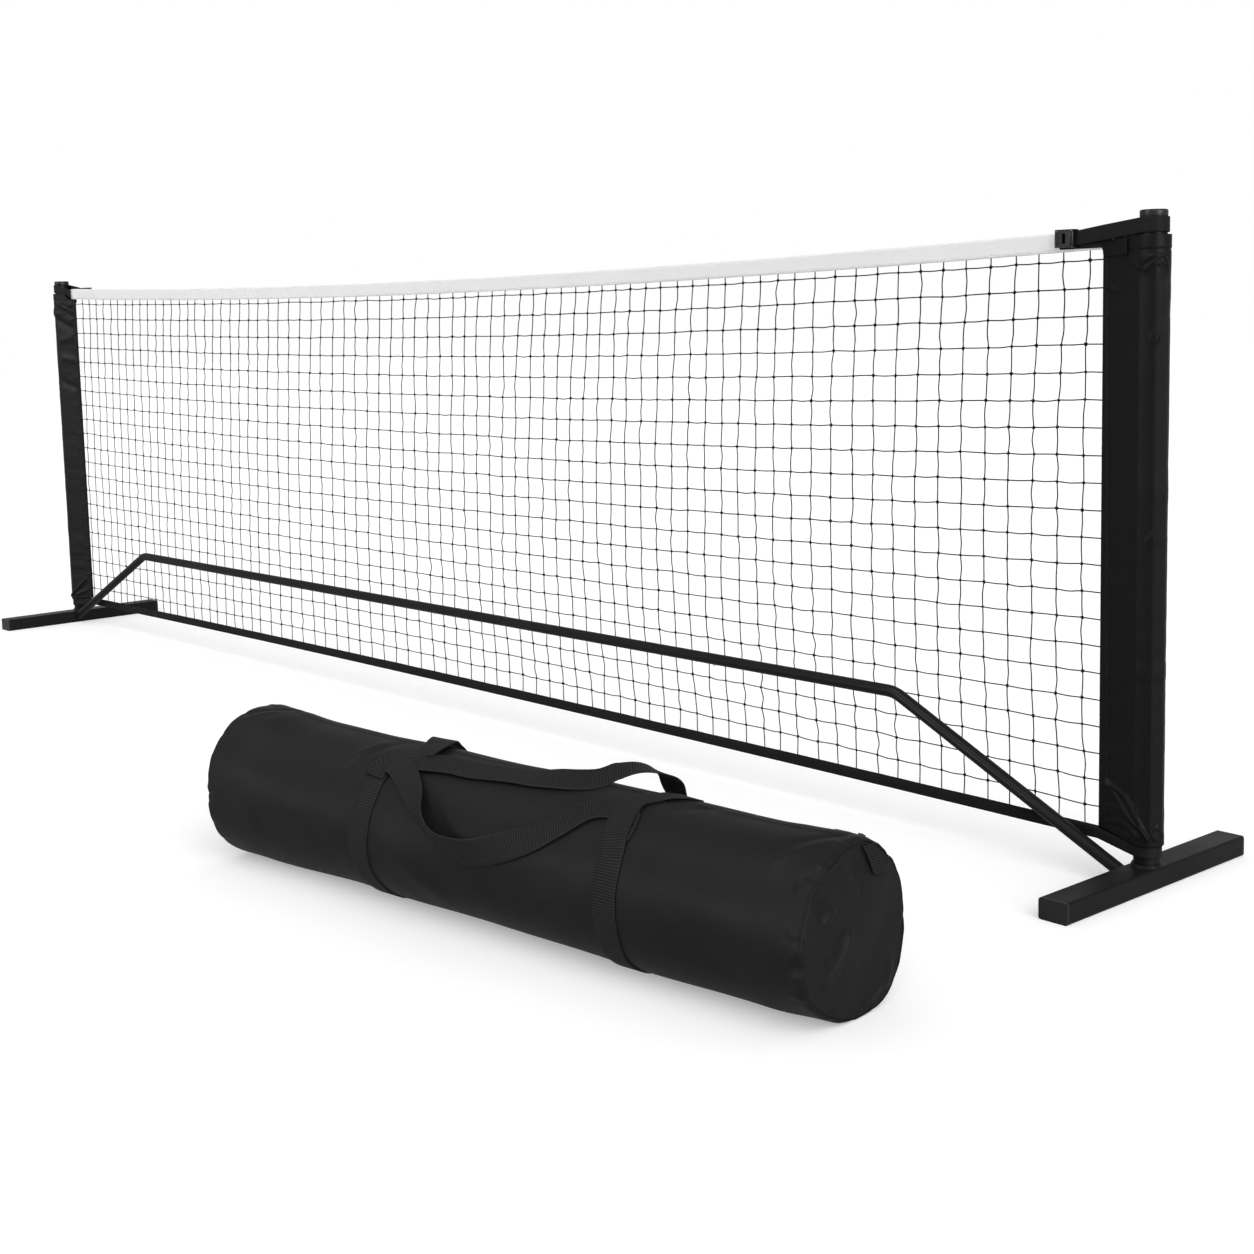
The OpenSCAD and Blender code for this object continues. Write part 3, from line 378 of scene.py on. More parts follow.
def hard_material(name, dark, light, rough, size, depth, metal=0.0, shine=0.03):
    """Powder coat, plastic, steel or thread: fine grain under broad cloudiness."""
    material, nt, shader = plain_material(name)
    m = Maths(nt)
    grain = use_group(nt, GRAIN, "Object", {"Size": size}).outputs
    cloud = m.fit(grain["Cloud"], 0.3, 0.7)
    finish_shader(
        m, shader, m.mix(cloud, dark, light), m.bump(grain["Height"], 0.5, depth),
        m.fit(cloud, 0.0, 1.0, rough + 0.05, rough - 0.05), 0.5 if metal else shine)
    shader.inputs["Metallic"].default_value = metal
    return material


def grey(v):
    return (v, v, v * 1.02)


def cool(v):
    return (v * 0.97, v, v * 1.06)


# For cloth and webbing the dark colour is reached in the dips between threads or ribs: painted shade, besides
# the cloth's own random tone
FINISH = {
    "powder_black": hard_material("black_powder_coat", grey(0.0075), grey(0.0105), 0.42, 1400.0, 0.00006),
    "cap_plastic": hard_material(
        "moulded_cap_plastic", grey(0.016), grey(0.021), 0.42, 2200.0, 0.00004, 0.0, 0.06),
    "steel": hard_material("bright_steel", (0.55, 0.55, 0.56), (0.66, 0.66, 0.67), 0.28, 500.0, 0.00001, 1.0),
    "net_twine": hard_material("black_twine", grey(0.006), grey(0.010), 0.7, 3000.0, 0.0001, 0.0, 0.02),
    "white_tape": cloth_material(
        "white_coated_tape", (0.80,) * 3, (0.86,) * 3, 0.0009, 0.6, 0.0001, 0.0, 0.2),
    "band_fabric": cloth_material("black_band_cloth", grey(0.006), grey(0.009), 0.0009),
    "sleeve_fabric": cloth_material(
        "black_sleeve_cloth", grey(0.005), grey(0.0085), 0.0008, 0.42, 0.0001, 0.0008, 0.022),
    "webbing": webbing_material(
        "black_strap_webbing", grey(0.006), grey(0.012), 0.0028, 0.0105, 0.85, 0.0004),
    "buckle_plastic": hard_material(
        "moulded_buckle_plastic", grey(0.008), grey(0.012), 0.4, 2500.0, 0.00004, 0.0, 0.06),
    "bag_fabric": cloth_material(
        "charcoal_bag_cloth", cool(0.0095), cool(0.0145), 0.0011, 0.5, 0.00012, 0.0012, 0.022),
    # painted shade: near black in the grooves between the bag webbing's ribs
    "bag_webbing": webbing_material(
        "charcoal_bag_webbing", grey(0.0005), grey(0.021), 0.0036, 0.019, 0.12, 0.0011),
    "zip_plastic": hard_material("zip_teeth_plastic", grey(0.010), grey(0.016), 0.35, 2500.0, 0.00002),
    "zip_metal": hard_material("black_zip_metal", grey(0.015), grey(0.025), 0.4, 1500.0, 0.00002),
}
BLACK_THREAD = hard_material("black_sewing_thread", grey(0.012), grey(0.018), 0.6, 3000.0, 0.00005, 0.0, 0.03)
WHITE_THREAD = hard_material("white_sewing_thread", (0.70,) * 3, (0.78,) * 3, 0.6, 3000.0, 0.00005)


# ---- making pieces ------------------------------------------------------------------


def point_outwards(me, way=None):
    """Turns the faces round if they look inwards, or away from the direction given."""
    n = len(me.polygons)
    centre, normal, area = np.empty(3 * n), np.empty(3 * n), np.empty(n)
    me.polygons.foreach_get("center", centre)
    me.polygons.foreach_get("normal", normal)
    me.polygons.foreach_get("area", area)
    centre, normal = centre.reshape(-1, 3), normal.reshape(-1, 3)
    middle = (centre * area[:, None]).sum(0) / area.sum()
    facing = ((centre - middle) * normal).sum(1) if way is None else normal @ np.array(way, float)
    if (area * facing).sum() < 0:
        me.flip_normals()


def make_piece(name, points, faces, uv, finish, body, way=None):
    """A mesh from points in the net's millimetres; uv has one pair in metres per face corner."""
    me = bpy.data.meshes.new(name)
    places = (np.asarray(points, float) + SHIFT) / 1000
    me.from_pydata(places.tolist(), [], [list(map(int, f)) for f in faces])
    if uv is not None:
        layer = me.uv_layers.new(name="UVMap")
        layer.data.foreach_set("uv", np.asarray(uv, np.float32).ravel())
    me.polygons.foreach_set("use_smooth", [True] * len(me.polygons))
    me.materials.append(FINISH[finish])
    me.update()
    point_outwards(me, way)
    ob = add_object(name, me)
    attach(ob, body)
    return ob


def grid_faces(p, us, vs, ring=False):
    """Quads over a grid of points p[row][column], with the map's us along it and vs up it."""
    rows, cols = p.shape[:2]
    faces, uv = [], []
    for i in range(rows - 1):
        for j in range(cols if ring else cols - 1):
            k = (j + 1) % cols
            a, b = i * cols + j, i * cols + k
            faces.append([a, b, b + cols, a + cols])
            uv += [(us[j], vs[i]), (us[j + 1], vs[i]), (us[j + 1], vs[i + 1]), (us[j], vs[i + 1])]
    return faces, uv


def steps_along(p):
    """Length along a row of points, up to each of them."""
    return np.concatenate([[0], np.cumsum(np.linalg.norm(np.diff(p, axis=0), axis=1))])


def unit(v):
    return v / np.maximum(np.linalg.norm(v, axis=-1, keepdims=True), 1e-9)


def curve_through(p, n):
    """A smooth line through the points, with n steps between two of them."""
    p = np.asarray(p, float)
    q = np.vstack([p[:1], p, p[-1:]])
    out = []
    for i in range(len(p) - 1):
        a, b, c, d = q[i : i + 4]
        for k in range(n):
            t = k / n
            out.append(0.5 * (2 * b + (c - a) * t + (2 * a - 5 * b + 4 * c - d) * t * t
                              + (3 * b - a - 3 * c + d) * t**3))
    return np.array(out + [p[-1]])


def ribbon_mesh(path, across, w, t, n=6):
    """A strap with rounded edges along path; the map runs along and across it in metres."""
    path = np.asarray(path, float)
    across = unit(np.asarray(across, float))
    out = unit(np.cross(unit(np.gradient(path, axis=0)), across))
    side = np.linspace(-1, 1, n + 1) * (w / 2 - t * 0.35)
    ring = [(s, t / 2) for s in side] + [(w / 2, 0.0)] + [(s, -t / 2) for s in side[::-1]] + [(-w / 2, 0.0)]
    ring = np.array(ring)
    p = path[:, None, :] + across[:, None, :] * ring[None, :, :1] + out[:, None, :] * ring[None, :, 1:]
    along = steps_along(path) / 1000
    count, k = len(path), len(ring)
    faces, uv = [], []
    v = ring[:, 0] / 1000
    for i in range(count - 1):
        for j in range(k):
            m = (j + 1) % k
            faces.append([i * k + j, (i + 1) * k + j, (i + 1) * k + m, i * k + m])
            uv += [(along[i], v[j]), (along[i + 1], v[j]), (along[i + 1], v[m]), (along[i], v[m])]
    faces.append(list(range(k)))
    uv += [(0, v[j]) for j in range(k)]
    faces.append([(count - 1) * k + j for j in range(k)][::-1])
    uv += [(along[-1], v[j]) for j in range(k)][::-1]
    return p.reshape(-1, 3), faces, uv


def thick(ob, t):
    modifier = ob.modifiers.new("cloth thickness", "SOLIDIFY")
    modifier.thickness, modifier.offset = t / 1000, -1.0


def softened(node, body, finish, width):
    """A copy of a rigid node with its sharp edges rounded, in the node's place."""
    bm = bmesh.new()
    bm.from_mesh(frame["nodes"][node].data)
    bmesh.ops.remove_doubles(bm, verts=bm.verts, dist=1e-6)
    bmesh.ops.dissolve_limit(bm, angle_limit=0.02, verts=bm.verts, edges=bm.edges)
    sharp = [e for e in bm.edges if len(e.link_faces) == 2 and e.calc_face_angle(0) > 0.5]
    bmesh.ops.bevel(
        bm, geom=sharp, offset=width / 1000, segments=2, profile=0.6, affect="EDGES", clamp_overlap=True)
    me = bpy.data.meshes.new(node + "_moulded")
    bm.to_mesh(me)
    bm.free()
    me.materials.append(FINISH[finish])
    ob = add_object(node + "_moulded", me)
    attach(ob, body)
    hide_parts(node)


# ---- what repeats: strings, knots, stitches and teeth -------------------------------


def set_input(modifier, name, value):
    for item in modifier.node_group.interface.items_tree:
        if item.item_type == "SOCKET" and item.in_out == "INPUT" and item.name == name:
            modifier[item.identifier] = value


def grown(source, name, tree, values, body):
    """Runs a geometry tree on source and keeps its result as a plain mesh."""
    modifier = source.modifiers.new("grow", "NODES")
    modifier.node_group = tree
    for label, value in values.items():
        set_input(modifier, label, value)
    bpy.context.view_layer.update()
    evaluated = source.evaluated_get(bpy.context.evaluated_depsgraph_get())
    me = bpy.data.meshes.new_from_object(evaluated)
    bpy.data.objects.remove(source)
    me.name = name
    ob = add_object(name, me)
    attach(ob, body)
    return ob


def loose_lines(name, lines):
    """A mesh of separate lines, each a row of points in the net's millimetres."""
    points, edges = [], []
    for line in lines:
        n = len(points)
        points += ((np.asarray(line, float) + SHIFT) / 1000).tolist()
        edges += [(n + i, n + i + 1) for i in range(len(line) - 1)]
    me = bpy.data.meshes.new(name)
    me.from_pydata(points, edges, [])
    return add_object(name, me)


def geometry_tree(name, inputs):
    inputs = [("Geometry", "Geometry", None)] + inputs + [("Material", "Material", None)]
    return new_group(name, inputs, [("Geometry", "Geometry")], "GeometryNodeTree")


def close_tree(tree, start, last, end):
    """Ends a tree: real geometry, painted with the material given."""
    real, paint = new_nodes(tree, "GeometryNodeRealizeInstances", "GeometryNodeSetMaterial")
    chain(tree, last, real, paint, end)
    tree.links.new(start.outputs["Material"], paint.inputs["Material"])
    return tree


def string_tree():
    """Turns each line into a round string with its length and turn kept as a map."""
    tree, start, end = geometry_tree("strings", [("Radius", "Float", 0.0008), ("Sides", "Int", 5)])
    link = tree.links.new
    curve, tube, ring, smooth, both, keep, far, turn = new_nodes(
        tree, "GeometryNodeMeshToCurve", "GeometryNodeCurveToMesh", "GeometryNodeCurvePrimitiveCircle",
        "GeometryNodeSetShadeSmooth", "ShaderNodeCombineXYZ", "GeometryNodeStoreNamedAttribute",
        "GeometryNodeCaptureAttribute", "GeometryNodeCaptureAttribute")
    for node, out, socket in ((far, "Length", 0), (turn, "Factor", 1)):
        node.capture_items.new("FLOAT", out)
        link(tree.nodes.new("GeometryNodeSplineParameter").outputs[out], node.inputs[1])
        link(node.outputs[1], both.inputs[socket])
    link(start.outputs["Radius"], ring.inputs["Radius"])
    link(start.outputs["Sides"], ring.inputs["Resolution"])
    chain(tree, ring, turn)
    link(turn.outputs[0], tube.inputs["Profile Curve"])
    tube.inputs["Fill Caps"].default_value = True
    keep.data_type, keep.domain = "FLOAT2", "CORNER"
    keep.inputs["Name"].default_value = "UVMap"
    link(both.outputs[0], keep.inputs["Value"])
    chain(tree, start, curve, far, tube, keep, smooth)
    return close_tree(tree, start, smooth, end)


def knot_tree():
    """Puts a small knot, tied from one turned loop, on every point."""
    tree, start, end = geometry_tree("knots", [("Knot", "Object", None), ("Seed", "Int", 3)])
    link = tree.links.new
    dots, place, info, smooth, turn, size = new_nodes(
        tree, "GeometryNodeMeshToPoints", "GeometryNodeInstanceOnPoints", "GeometryNodeObjectInfo",
        "GeometryNodeSetShadeSmooth", "FunctionNodeRandomValue", "FunctionNodeRandomValue")
    turn.data_type = "FLOAT_VECTOR"
    turn.inputs[0].default_value, turn.inputs[1].default_value = (-0.3, -0.8, -0.3), (0.3, 0.8, 0.3)
    size.inputs[2].default_value, size.inputs[3].default_value = 0.85, 1.15
    link(start.outputs["Seed"], turn.inputs["Seed"])
    link(start.outputs["Seed"], size.inputs["Seed"])
    link(start.outputs["Knot"], info.inputs[0])
    link(info.outputs["Geometry"], place.inputs["Instance"])
    link(turn.outputs[0], place.inputs["Rotation"])
    link(size.outputs[1], place.inputs["Scale"])
    chain(tree, start, dots, place, smooth)
    return close_tree(tree, start, smooth, end)


def row_tree():
    """Sets a piece at even steps along each line, its length along the line: stitches, teeth."""
    tree, start, end = geometry_tree(
        "even_row", [("Piece", "Object", None), ("Pitch", "Float", 0.003), ("Vary", "Float", 0.1),
                     ("Seed", "Int", 1)])
    link = tree.links.new
    curve, steps, place, info, tangent, align, size = new_nodes(
        tree, "GeometryNodeMeshToCurve", "GeometryNodeResampleCurve", "GeometryNodeInstanceOnPoints",
        "GeometryNodeObjectInfo", "GeometryNodeInputTangent", "FunctionNodeAlignRotationToVector",
        "FunctionNodeRandomValue")
    steps.mode, align.axis = "LENGTH", "X"
    for operation, limit in (("SUBTRACT", 2), ("ADD", 3)):
        link(Maths(tree).do(operation, 1.0, start.outputs["Vary"]), size.inputs[limit])
    link(start.outputs["Seed"], size.inputs["Seed"])
    link(start.outputs["Pitch"], steps.inputs["Length"])
    link(start.outputs["Piece"], info.inputs[0])
    link(info.outputs["Geometry"], place.inputs["Instance"])
    link(tangent.outputs[0], align.inputs["Vector"])
    link(align.outputs[0], place.inputs["Rotation"])
    link(size.outputs[1], place.inputs["Scale"])
    chain(tree, start, curve, steps, place)
    return close_tree(tree, start, place, end)


STRINGS, KNOTS, EVEN_ROW = string_tree(), knot_tree(), row_tree()


def single(name, points, faces, smooth=True):
    """One piece to repeat, in millimetres round its own origin."""
    me = bpy.data.meshes.new(name)
    me.from_pydata((np.array(points, float) / 1000).tolist(), [], faces)
    me.polygons.foreach_set("use_smooth", [smooth] * len(me.polygons))
    point_outwards(me)
    return add_object(name, me)


QUARTERS = ((1, 0), (0, 1), (-1, 0), (0, -1))  # four ways round a thread


def stitch_shape(length, r):
    points, faces = [(-length / 2, 0, 0)], []
    for x in (-0.3, 0.3):
        points += [(x * length, r * c, r * s) for c, s in QUARTERS]
    points.append((length / 2, 0, 0))
    for q in range(4):
        n = (q + 1) % 4
        faces += [[0, 1 + n, 1 + q], [1 + q, 1 + n, 5 + n, 5 + q], [9, 5 + q, 5 + n]]
    return single("one_stitch", points, faces)


def sewn(name, lines, body, length=2.6, pitch=STITCH_PITCH, r=0.35, thread=None):
    """A row of thread stitches along each line."""
    stitch = stitch_shape(length, r)
    grown(loose_lines(name + "_lines", lines), name, EVEN_ROW, {
        "Piece": stitch, "Pitch": pitch / 1000, "Vary": 0.12, "Seed": 7, "Material": thread or BLACK_THREAD},
        body)
    bpy.data.objects.remove(stitch)


# ---- netting ------------------------------------------------------------------------

BAND_LIFT = 8  # how far the bottom band's middle is drawn up by the netting
ROWS_DIP = 18  # how far the rows between top and bottom hang down in the net's middle
TWINE_R = 0.95


def droop(x):
    """How far the tape hangs down at x along the net."""
    return TAPE_SAG * (1 - (x / MESH_HALF) ** 2)


def lift(x):
    """How far the bottom band is drawn up at x along the net."""
    return BAND_LIFT * (1 - (x / MESH_HALF) ** 2)


# Place along the net of some uprights, at the top, the middle and the bottom of the netting
UPRIGHTS = (0, 12, 22, 32, 37, 42, 47, 52, 62, 72, 75)
UPRIGHT_X = ((-1559, -1068, -651, -199, 18, 230, 442, 631, 1029, 1456, 1581),
             (-1580, -1100, -688, -230, -8, 201, 406, 604, 1013, 1444, 1571),
             (-1590, -1118, -708, -238, -9, 205, 413, 616, 1022, 1449, 1577))


def mesh_point(i, j):
    """Crossing of upright i with level row j, counted from the top; both may be fractions."""
    top, middle, low = (np.interp(i, UPRIGHTS, xs) for xs in UPRIGHT_X)
    v = j / (NET_ROWS - 1)
    x = top * (1 - v) * (1 - 2 * v) + 4 * middle * v * (1 - v) + low * v * (2 * v - 1)
    first = MESH_HIGH - droop(x) - 9 - 4 * (x / MESH_HALF) ** 2
    last = MESH_LOW + 28 + 1.6 * lift(x)
    even = first + (last - first) * v
    return x, even - ROWS_DIP * (1 - (x / MESH_HALF) ** 2) * math.sin(math.pi * v**1.2)


def make_netting():
    """Upright and level strings through jittered crossings, and a knot on each."""
    cross = np.array([[(mesh_point(i, j)[0], 0, mesh_point(i, j)[1]) for j in range(NET_ROWS)]
                      for i in range(NET_COLUMNS)])
    wave = rng.normal(0, 1, cross.shape)
    wave[:, 1:] = 0.75 * wave[:, 1:] + 0.5 * wave[:, :-1]
    cross = cross + wave * (1.3, 0.5, 0.5)
    lines = []
    for i in range(NET_COLUMNS):
        start, end = cross[i, 0], cross[i, -1]
        line = [(start[0], 0, MESH_HIGH - droop(start[0]) + 9)]
        bend = rng.normal(0, 1.2)
        for j in range(NET_ROWS):
            if j:
                bend = 0.5 * bend + rng.normal(0, 1.2)
                line.append((cross[i, j] + cross[i, j - 1]) / 2 + (bend, rng.normal(0, 0.4), 0))
            line.append(cross[i, j])
        lines.append(curve_through(line + [(end[0] + bend, 0, MESH_LOW + lift(end[0]) - 9)], 3))
    up = loose_lines("upright_lines", lines)
    lines = []
    for j in range(NET_ROWS):
        line = [(-MESH_HALF - 4, 0, mesh_point(0, j)[1])]
        for i in range(NET_COLUMNS):
            if i:
                sag = (0, rng.normal(0, 0.4), rng.normal(-0.5, 0.45))
                line.append((cross[i, j] + cross[i - 1, j]) / 2 + sag)
            line.append(cross[i, j])
        lines.append(curve_through(line + [(MESH_HALF + 4, 0, mesh_point(NET_COLUMNS - 1, j)[1])], 3))
    level = loose_lines("level_lines", lines)
    values = {"Radius": TWINE_R / 1000, "Sides": 5, "Material": FINISH["net_twine"]}
    grown(up, "netting_upright_strings", STRINGS, values, "net_frame")
    main = grown(level, "netting_level_strings", STRINGS, values, "net_frame")
    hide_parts("netting")

    turns = np.linspace(0, 2 * math.pi, 12, endpoint=False)
    loop = np.stack([np.sin(turns) + 2 * np.sin(2 * turns), -np.sin(3 * turns),
                     np.cos(turns) - 2 * np.cos(2 * turns)], 1) * (0.72, 0.95, 0.72)
    points, faces = [], []
    for i in range(12):
        way = unit(loop[(i + 1) % 12] - loop[i - 1])
        a = unit(np.cross(way, (0.1, 1, 0.2)))
        b = np.cross(way, a)
        points += [loop[i] + TWINE_R * (c * a + s * b) for c, s in QUARTERS]
        n = (i + 1) % 12
        faces += [[i * 4 + k, n * 4 + k, n * 4 + (k + 1) % 4, i * 4 + (k + 1) % 4] for k in range(4)]
    knot = single("one_knot", points, faces)
    dots = loose_lines("knot_places", [[p] for p in cross.reshape(-1, 3)])
    grown(dots, "netting_knots", KNOTS, {"Knot": knot, "Seed": 5, "Material": FINISH["net_twine"]},
          "net_frame")
    bpy.data.objects.remove(knot)


def tape_piece(name, profile, xs, ys, zs, finish):
    """Cloth along the net: its cross profile swept through rows of places."""
    p = np.stack(np.broadcast_arrays(xs, ys, zs), -1)
    faces, uv = grid_faces(p, xs / 1000, steps_along(profile) / 1000)
    ob = make_piece(name, p.reshape(-1, 3), faces, uv, finish, "net_frame")
    thick(ob, THIN_CLOTH)
    return ob


def make_headband():
    """White tape folded over the top string, a little open below, with puckers at its seam."""
    xs = np.linspace(-TAPE_HALF, TAPE_HALF, 300)
    profile = [(2.8 - 0.5 * a * (1 - a), MESH_HIGH + a * (TAPE_TOP - MESH_HIGH - 2.4))
               for a in np.linspace(0, 1, 9)]
    for a in np.radians(np.linspace(15, 165, 7)):
        profile.append((2.8 * math.cos(a), TAPE_TOP - 2.6 + 2.6 * math.sin(a)))
    profile = np.array(profile + [(-y, z) for y, z in profile[8::-1]])
    pucker = np.convolve(rng.normal(0, 1, len(xs)), [0.25, 0.5, 0.25], "same") * 0.35
    hang = droop(xs) * (np.abs(xs) < MESH_HALF)
    y, z = profile.T[..., None]
    low = (TAPE_TOP - z) / (TAPE_TOP - MESH_HIGH)
    ob = tape_piece("headband_tape", profile, xs, -y - pucker * low * np.sign(y),
                    z - hang + pucker * 0.6 * low, "white_tape")
    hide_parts("headband", "headband_webbing")
    sewn("headband_stitches",
         [np.stack([xs, s * (2.95 + 0.6 * pucker), MESH_HIGH + 4 - hang], 1) for s in (-1, 1)],
         "net_frame", thread=WHITE_THREAD)


def make_bottom_band():
    """Black band folded over the netting's lowest strings."""
    xs = np.linspace(-MESH_HALF, MESH_HALF, 200)
    low, high = MESH_LOW - 18, MESH_LOW
    half = [(2.3, high), (2.3, (low + high) / 2), (2.3, low + 3), (1.6, low + 0.8)]
    profile = np.array(half + [(0, low)] + [(-y, z) for y, z in half[::-1]])
    wave = np.convolve(rng.normal(0, 1, len(xs)), np.ones(5) / 5, "same") * 0.5
    y, z = profile.T[..., None]
    ob = tape_piece("bottom_band_cloth", profile, xs, -y + wave * 0.3,
                    z + lift(xs) + wave * 0.5 * (z > low + 2), "band_fabric")
    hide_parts("bottom_band")
    seam = high - 4 + lift(xs) + wave * 0.5
    sewn("bottom_band_stitches", [np.stack([xs, s * 2.45 + wave * 0.3, seam], 1) for s in (-1, 1)],
         "net_frame", length=3, pitch=4.2)


# ---- sleeves ------------------------------------------------------------------------


def ease(t):
    """Smooth step from 0 to 1."""
    c = np.clip(t, 0, 1)
    return c * c * (3 - 2 * c)


def ridge(x, y, line, w):
    """Height, 1 on a line of points and falling off over w, of a fold in flat cloth."""
    out = np.zeros(np.broadcast(x, y).shape)
    for a, b in zip(line, line[1:]):
        d = (b[0] - a[0], b[1] - a[1])
        t = np.clip(((x - a[0]) * d[0] + (y - a[1]) * d[1]) / (d[0] ** 2 + d[1] ** 2), 0, 1)
        gap = np.hypot(x - a[0] - t * d[0], y - a[1] - t * d[1])
        out = np.maximum(out, np.exp(-((gap / w) ** 2)))
    return out


# Folds of the sleeves: line of (run from the hem, height), width and height of the fold
SLEEVE_FOLDS = {
    "right": [
        ([(18, 139), (57, 126), (72, 114), (82, 96), (94, 74)], 3.2, 2.4),
        ([(18, 139), (43, 117), (65, 99), (87, 84), (94, 74)], 2.8, 1.9), ([(56, 110), (76, 103)], 9, 0.9),
        ([(21, 106), (47, 105)], 3.5, 1.0), ([(22, 82), (36, 86), (52, 86), (69, 82), (79, 75)], 3.2, 1.7),
        ([(22, 74), (62, 72)], 4, 1.2), ([(95, 88), (104, 73)], 2.2, 1.4),
        ([(96, 93), (103, 86)], 2.2, 0.9), ([(110, 88), (122, 74)], 2.6, 1.0),
        ([(72, 848), (79, 856), (88, 862), (97, 866)], 2.2, 1.7), ([(60, 857), (74, 848)], 2.6, 1.0),
        ([(95, 853), (98, 860), (104, 865), (111, 860), (115, 852)], 1.9, 1.3),
        ([(83, 846), (92, 855)], 2.4, 0.9), ([(101, 852), (105, 858), (109, 852)], 1.7, 0.9),
        ([(96, 763), (90, 757), (96, 750), (102, 757), (96, 763)], 1.6, 1.2),
        ([(88, 482), (98, 496)], 2.4, 1.1), ([(92, 478), (103, 488)], 2.2, 0.8),
        ([(10, 826), (34, 818)], 3, 0.8),
    ],
    "left": [
        ([(76, 878), (17, 858)], 4, 2.0), ([(66, 868), (11, 840)], 4.5, 2.4),
        ([(58, 860), (30, 852)], 3, 1.2), ([(97, 850), (97, 838)], 5, 1.8),
        ([(90, 843), (70, 838)], 4, 1.2), ([(70, 822), (20, 800)], 9, -1.6),
        ([(20, 775), (60, 768)], 8, 1.3), ([(15, 715), (55, 722)], 7, 1.2),
        ([(12, 640), (60, 655)], 9, -1.3), ([(20, 120), (60, 90), (88, 70)], 4, 2.0),
        ([(18, 90), (60, 76)], 4, 1.3),
    ],
}
# Angles round the post, from its outer side, where the sleeve's cloth is creased
CORNERS = (-106.3, -47.0, 0.0, 52.0, 106.3)
BEHIND = 500.0  # run given to the sleeve's back, out of the reach of the folds


def sleeve_plan(panel_n, wrap_n):
    """Plan of the loop of cloth: place, way out, run from the hem and angle at each point."""
    half = 1.6
    touch = math.pi - math.atan2(half, REACH) - math.acos(SLEEVE_R / math.hypot(REACH, half))
    far = math.sqrt(REACH**2 + half**2 - SLEEVE_R**2)
    out = []
    last = 2 * panel_n + wrap_n
    for k in range(last + 1):
        side = 1 if k <= last / 2 else -1
        m = min(k, last - k)
        if m < panel_n:
            t = m / panel_n
            n = (math.cos(touch), side * math.sin(touch))
            x, y = -REACH * (1 - t) + t * SLEEVE_R * n[0], side * half * (1 - t) + t * SLEEVE_R * n[1]
            out.append((x, y, *n, t * far, 180))
        else:
            a = touch * (1 - 2 * (k - panel_n) / wrap_n)
            n = (math.cos(a), math.sin(a))
            run = far + SLEEVE_R * (touch - abs(a))
            out.append((SLEEVE_R * n[0], SLEEVE_R * n[1], *n, run, math.degrees(a)))
    return np.array(out)


def sleeve_heights(x):
    """Lower and upper edge of the sleeve at x from the post's axis."""
    low = LOW_STRAP_Z + 9 + (70.3 - LOW_STRAP_Z - 9) * np.clip(-x / REACH, 0, 1)
    return low, MESH_HIGH - 0.6 + (SLEEVE_TOP - MESH_HIGH + 0.6) * ease((x + 58) / 26)


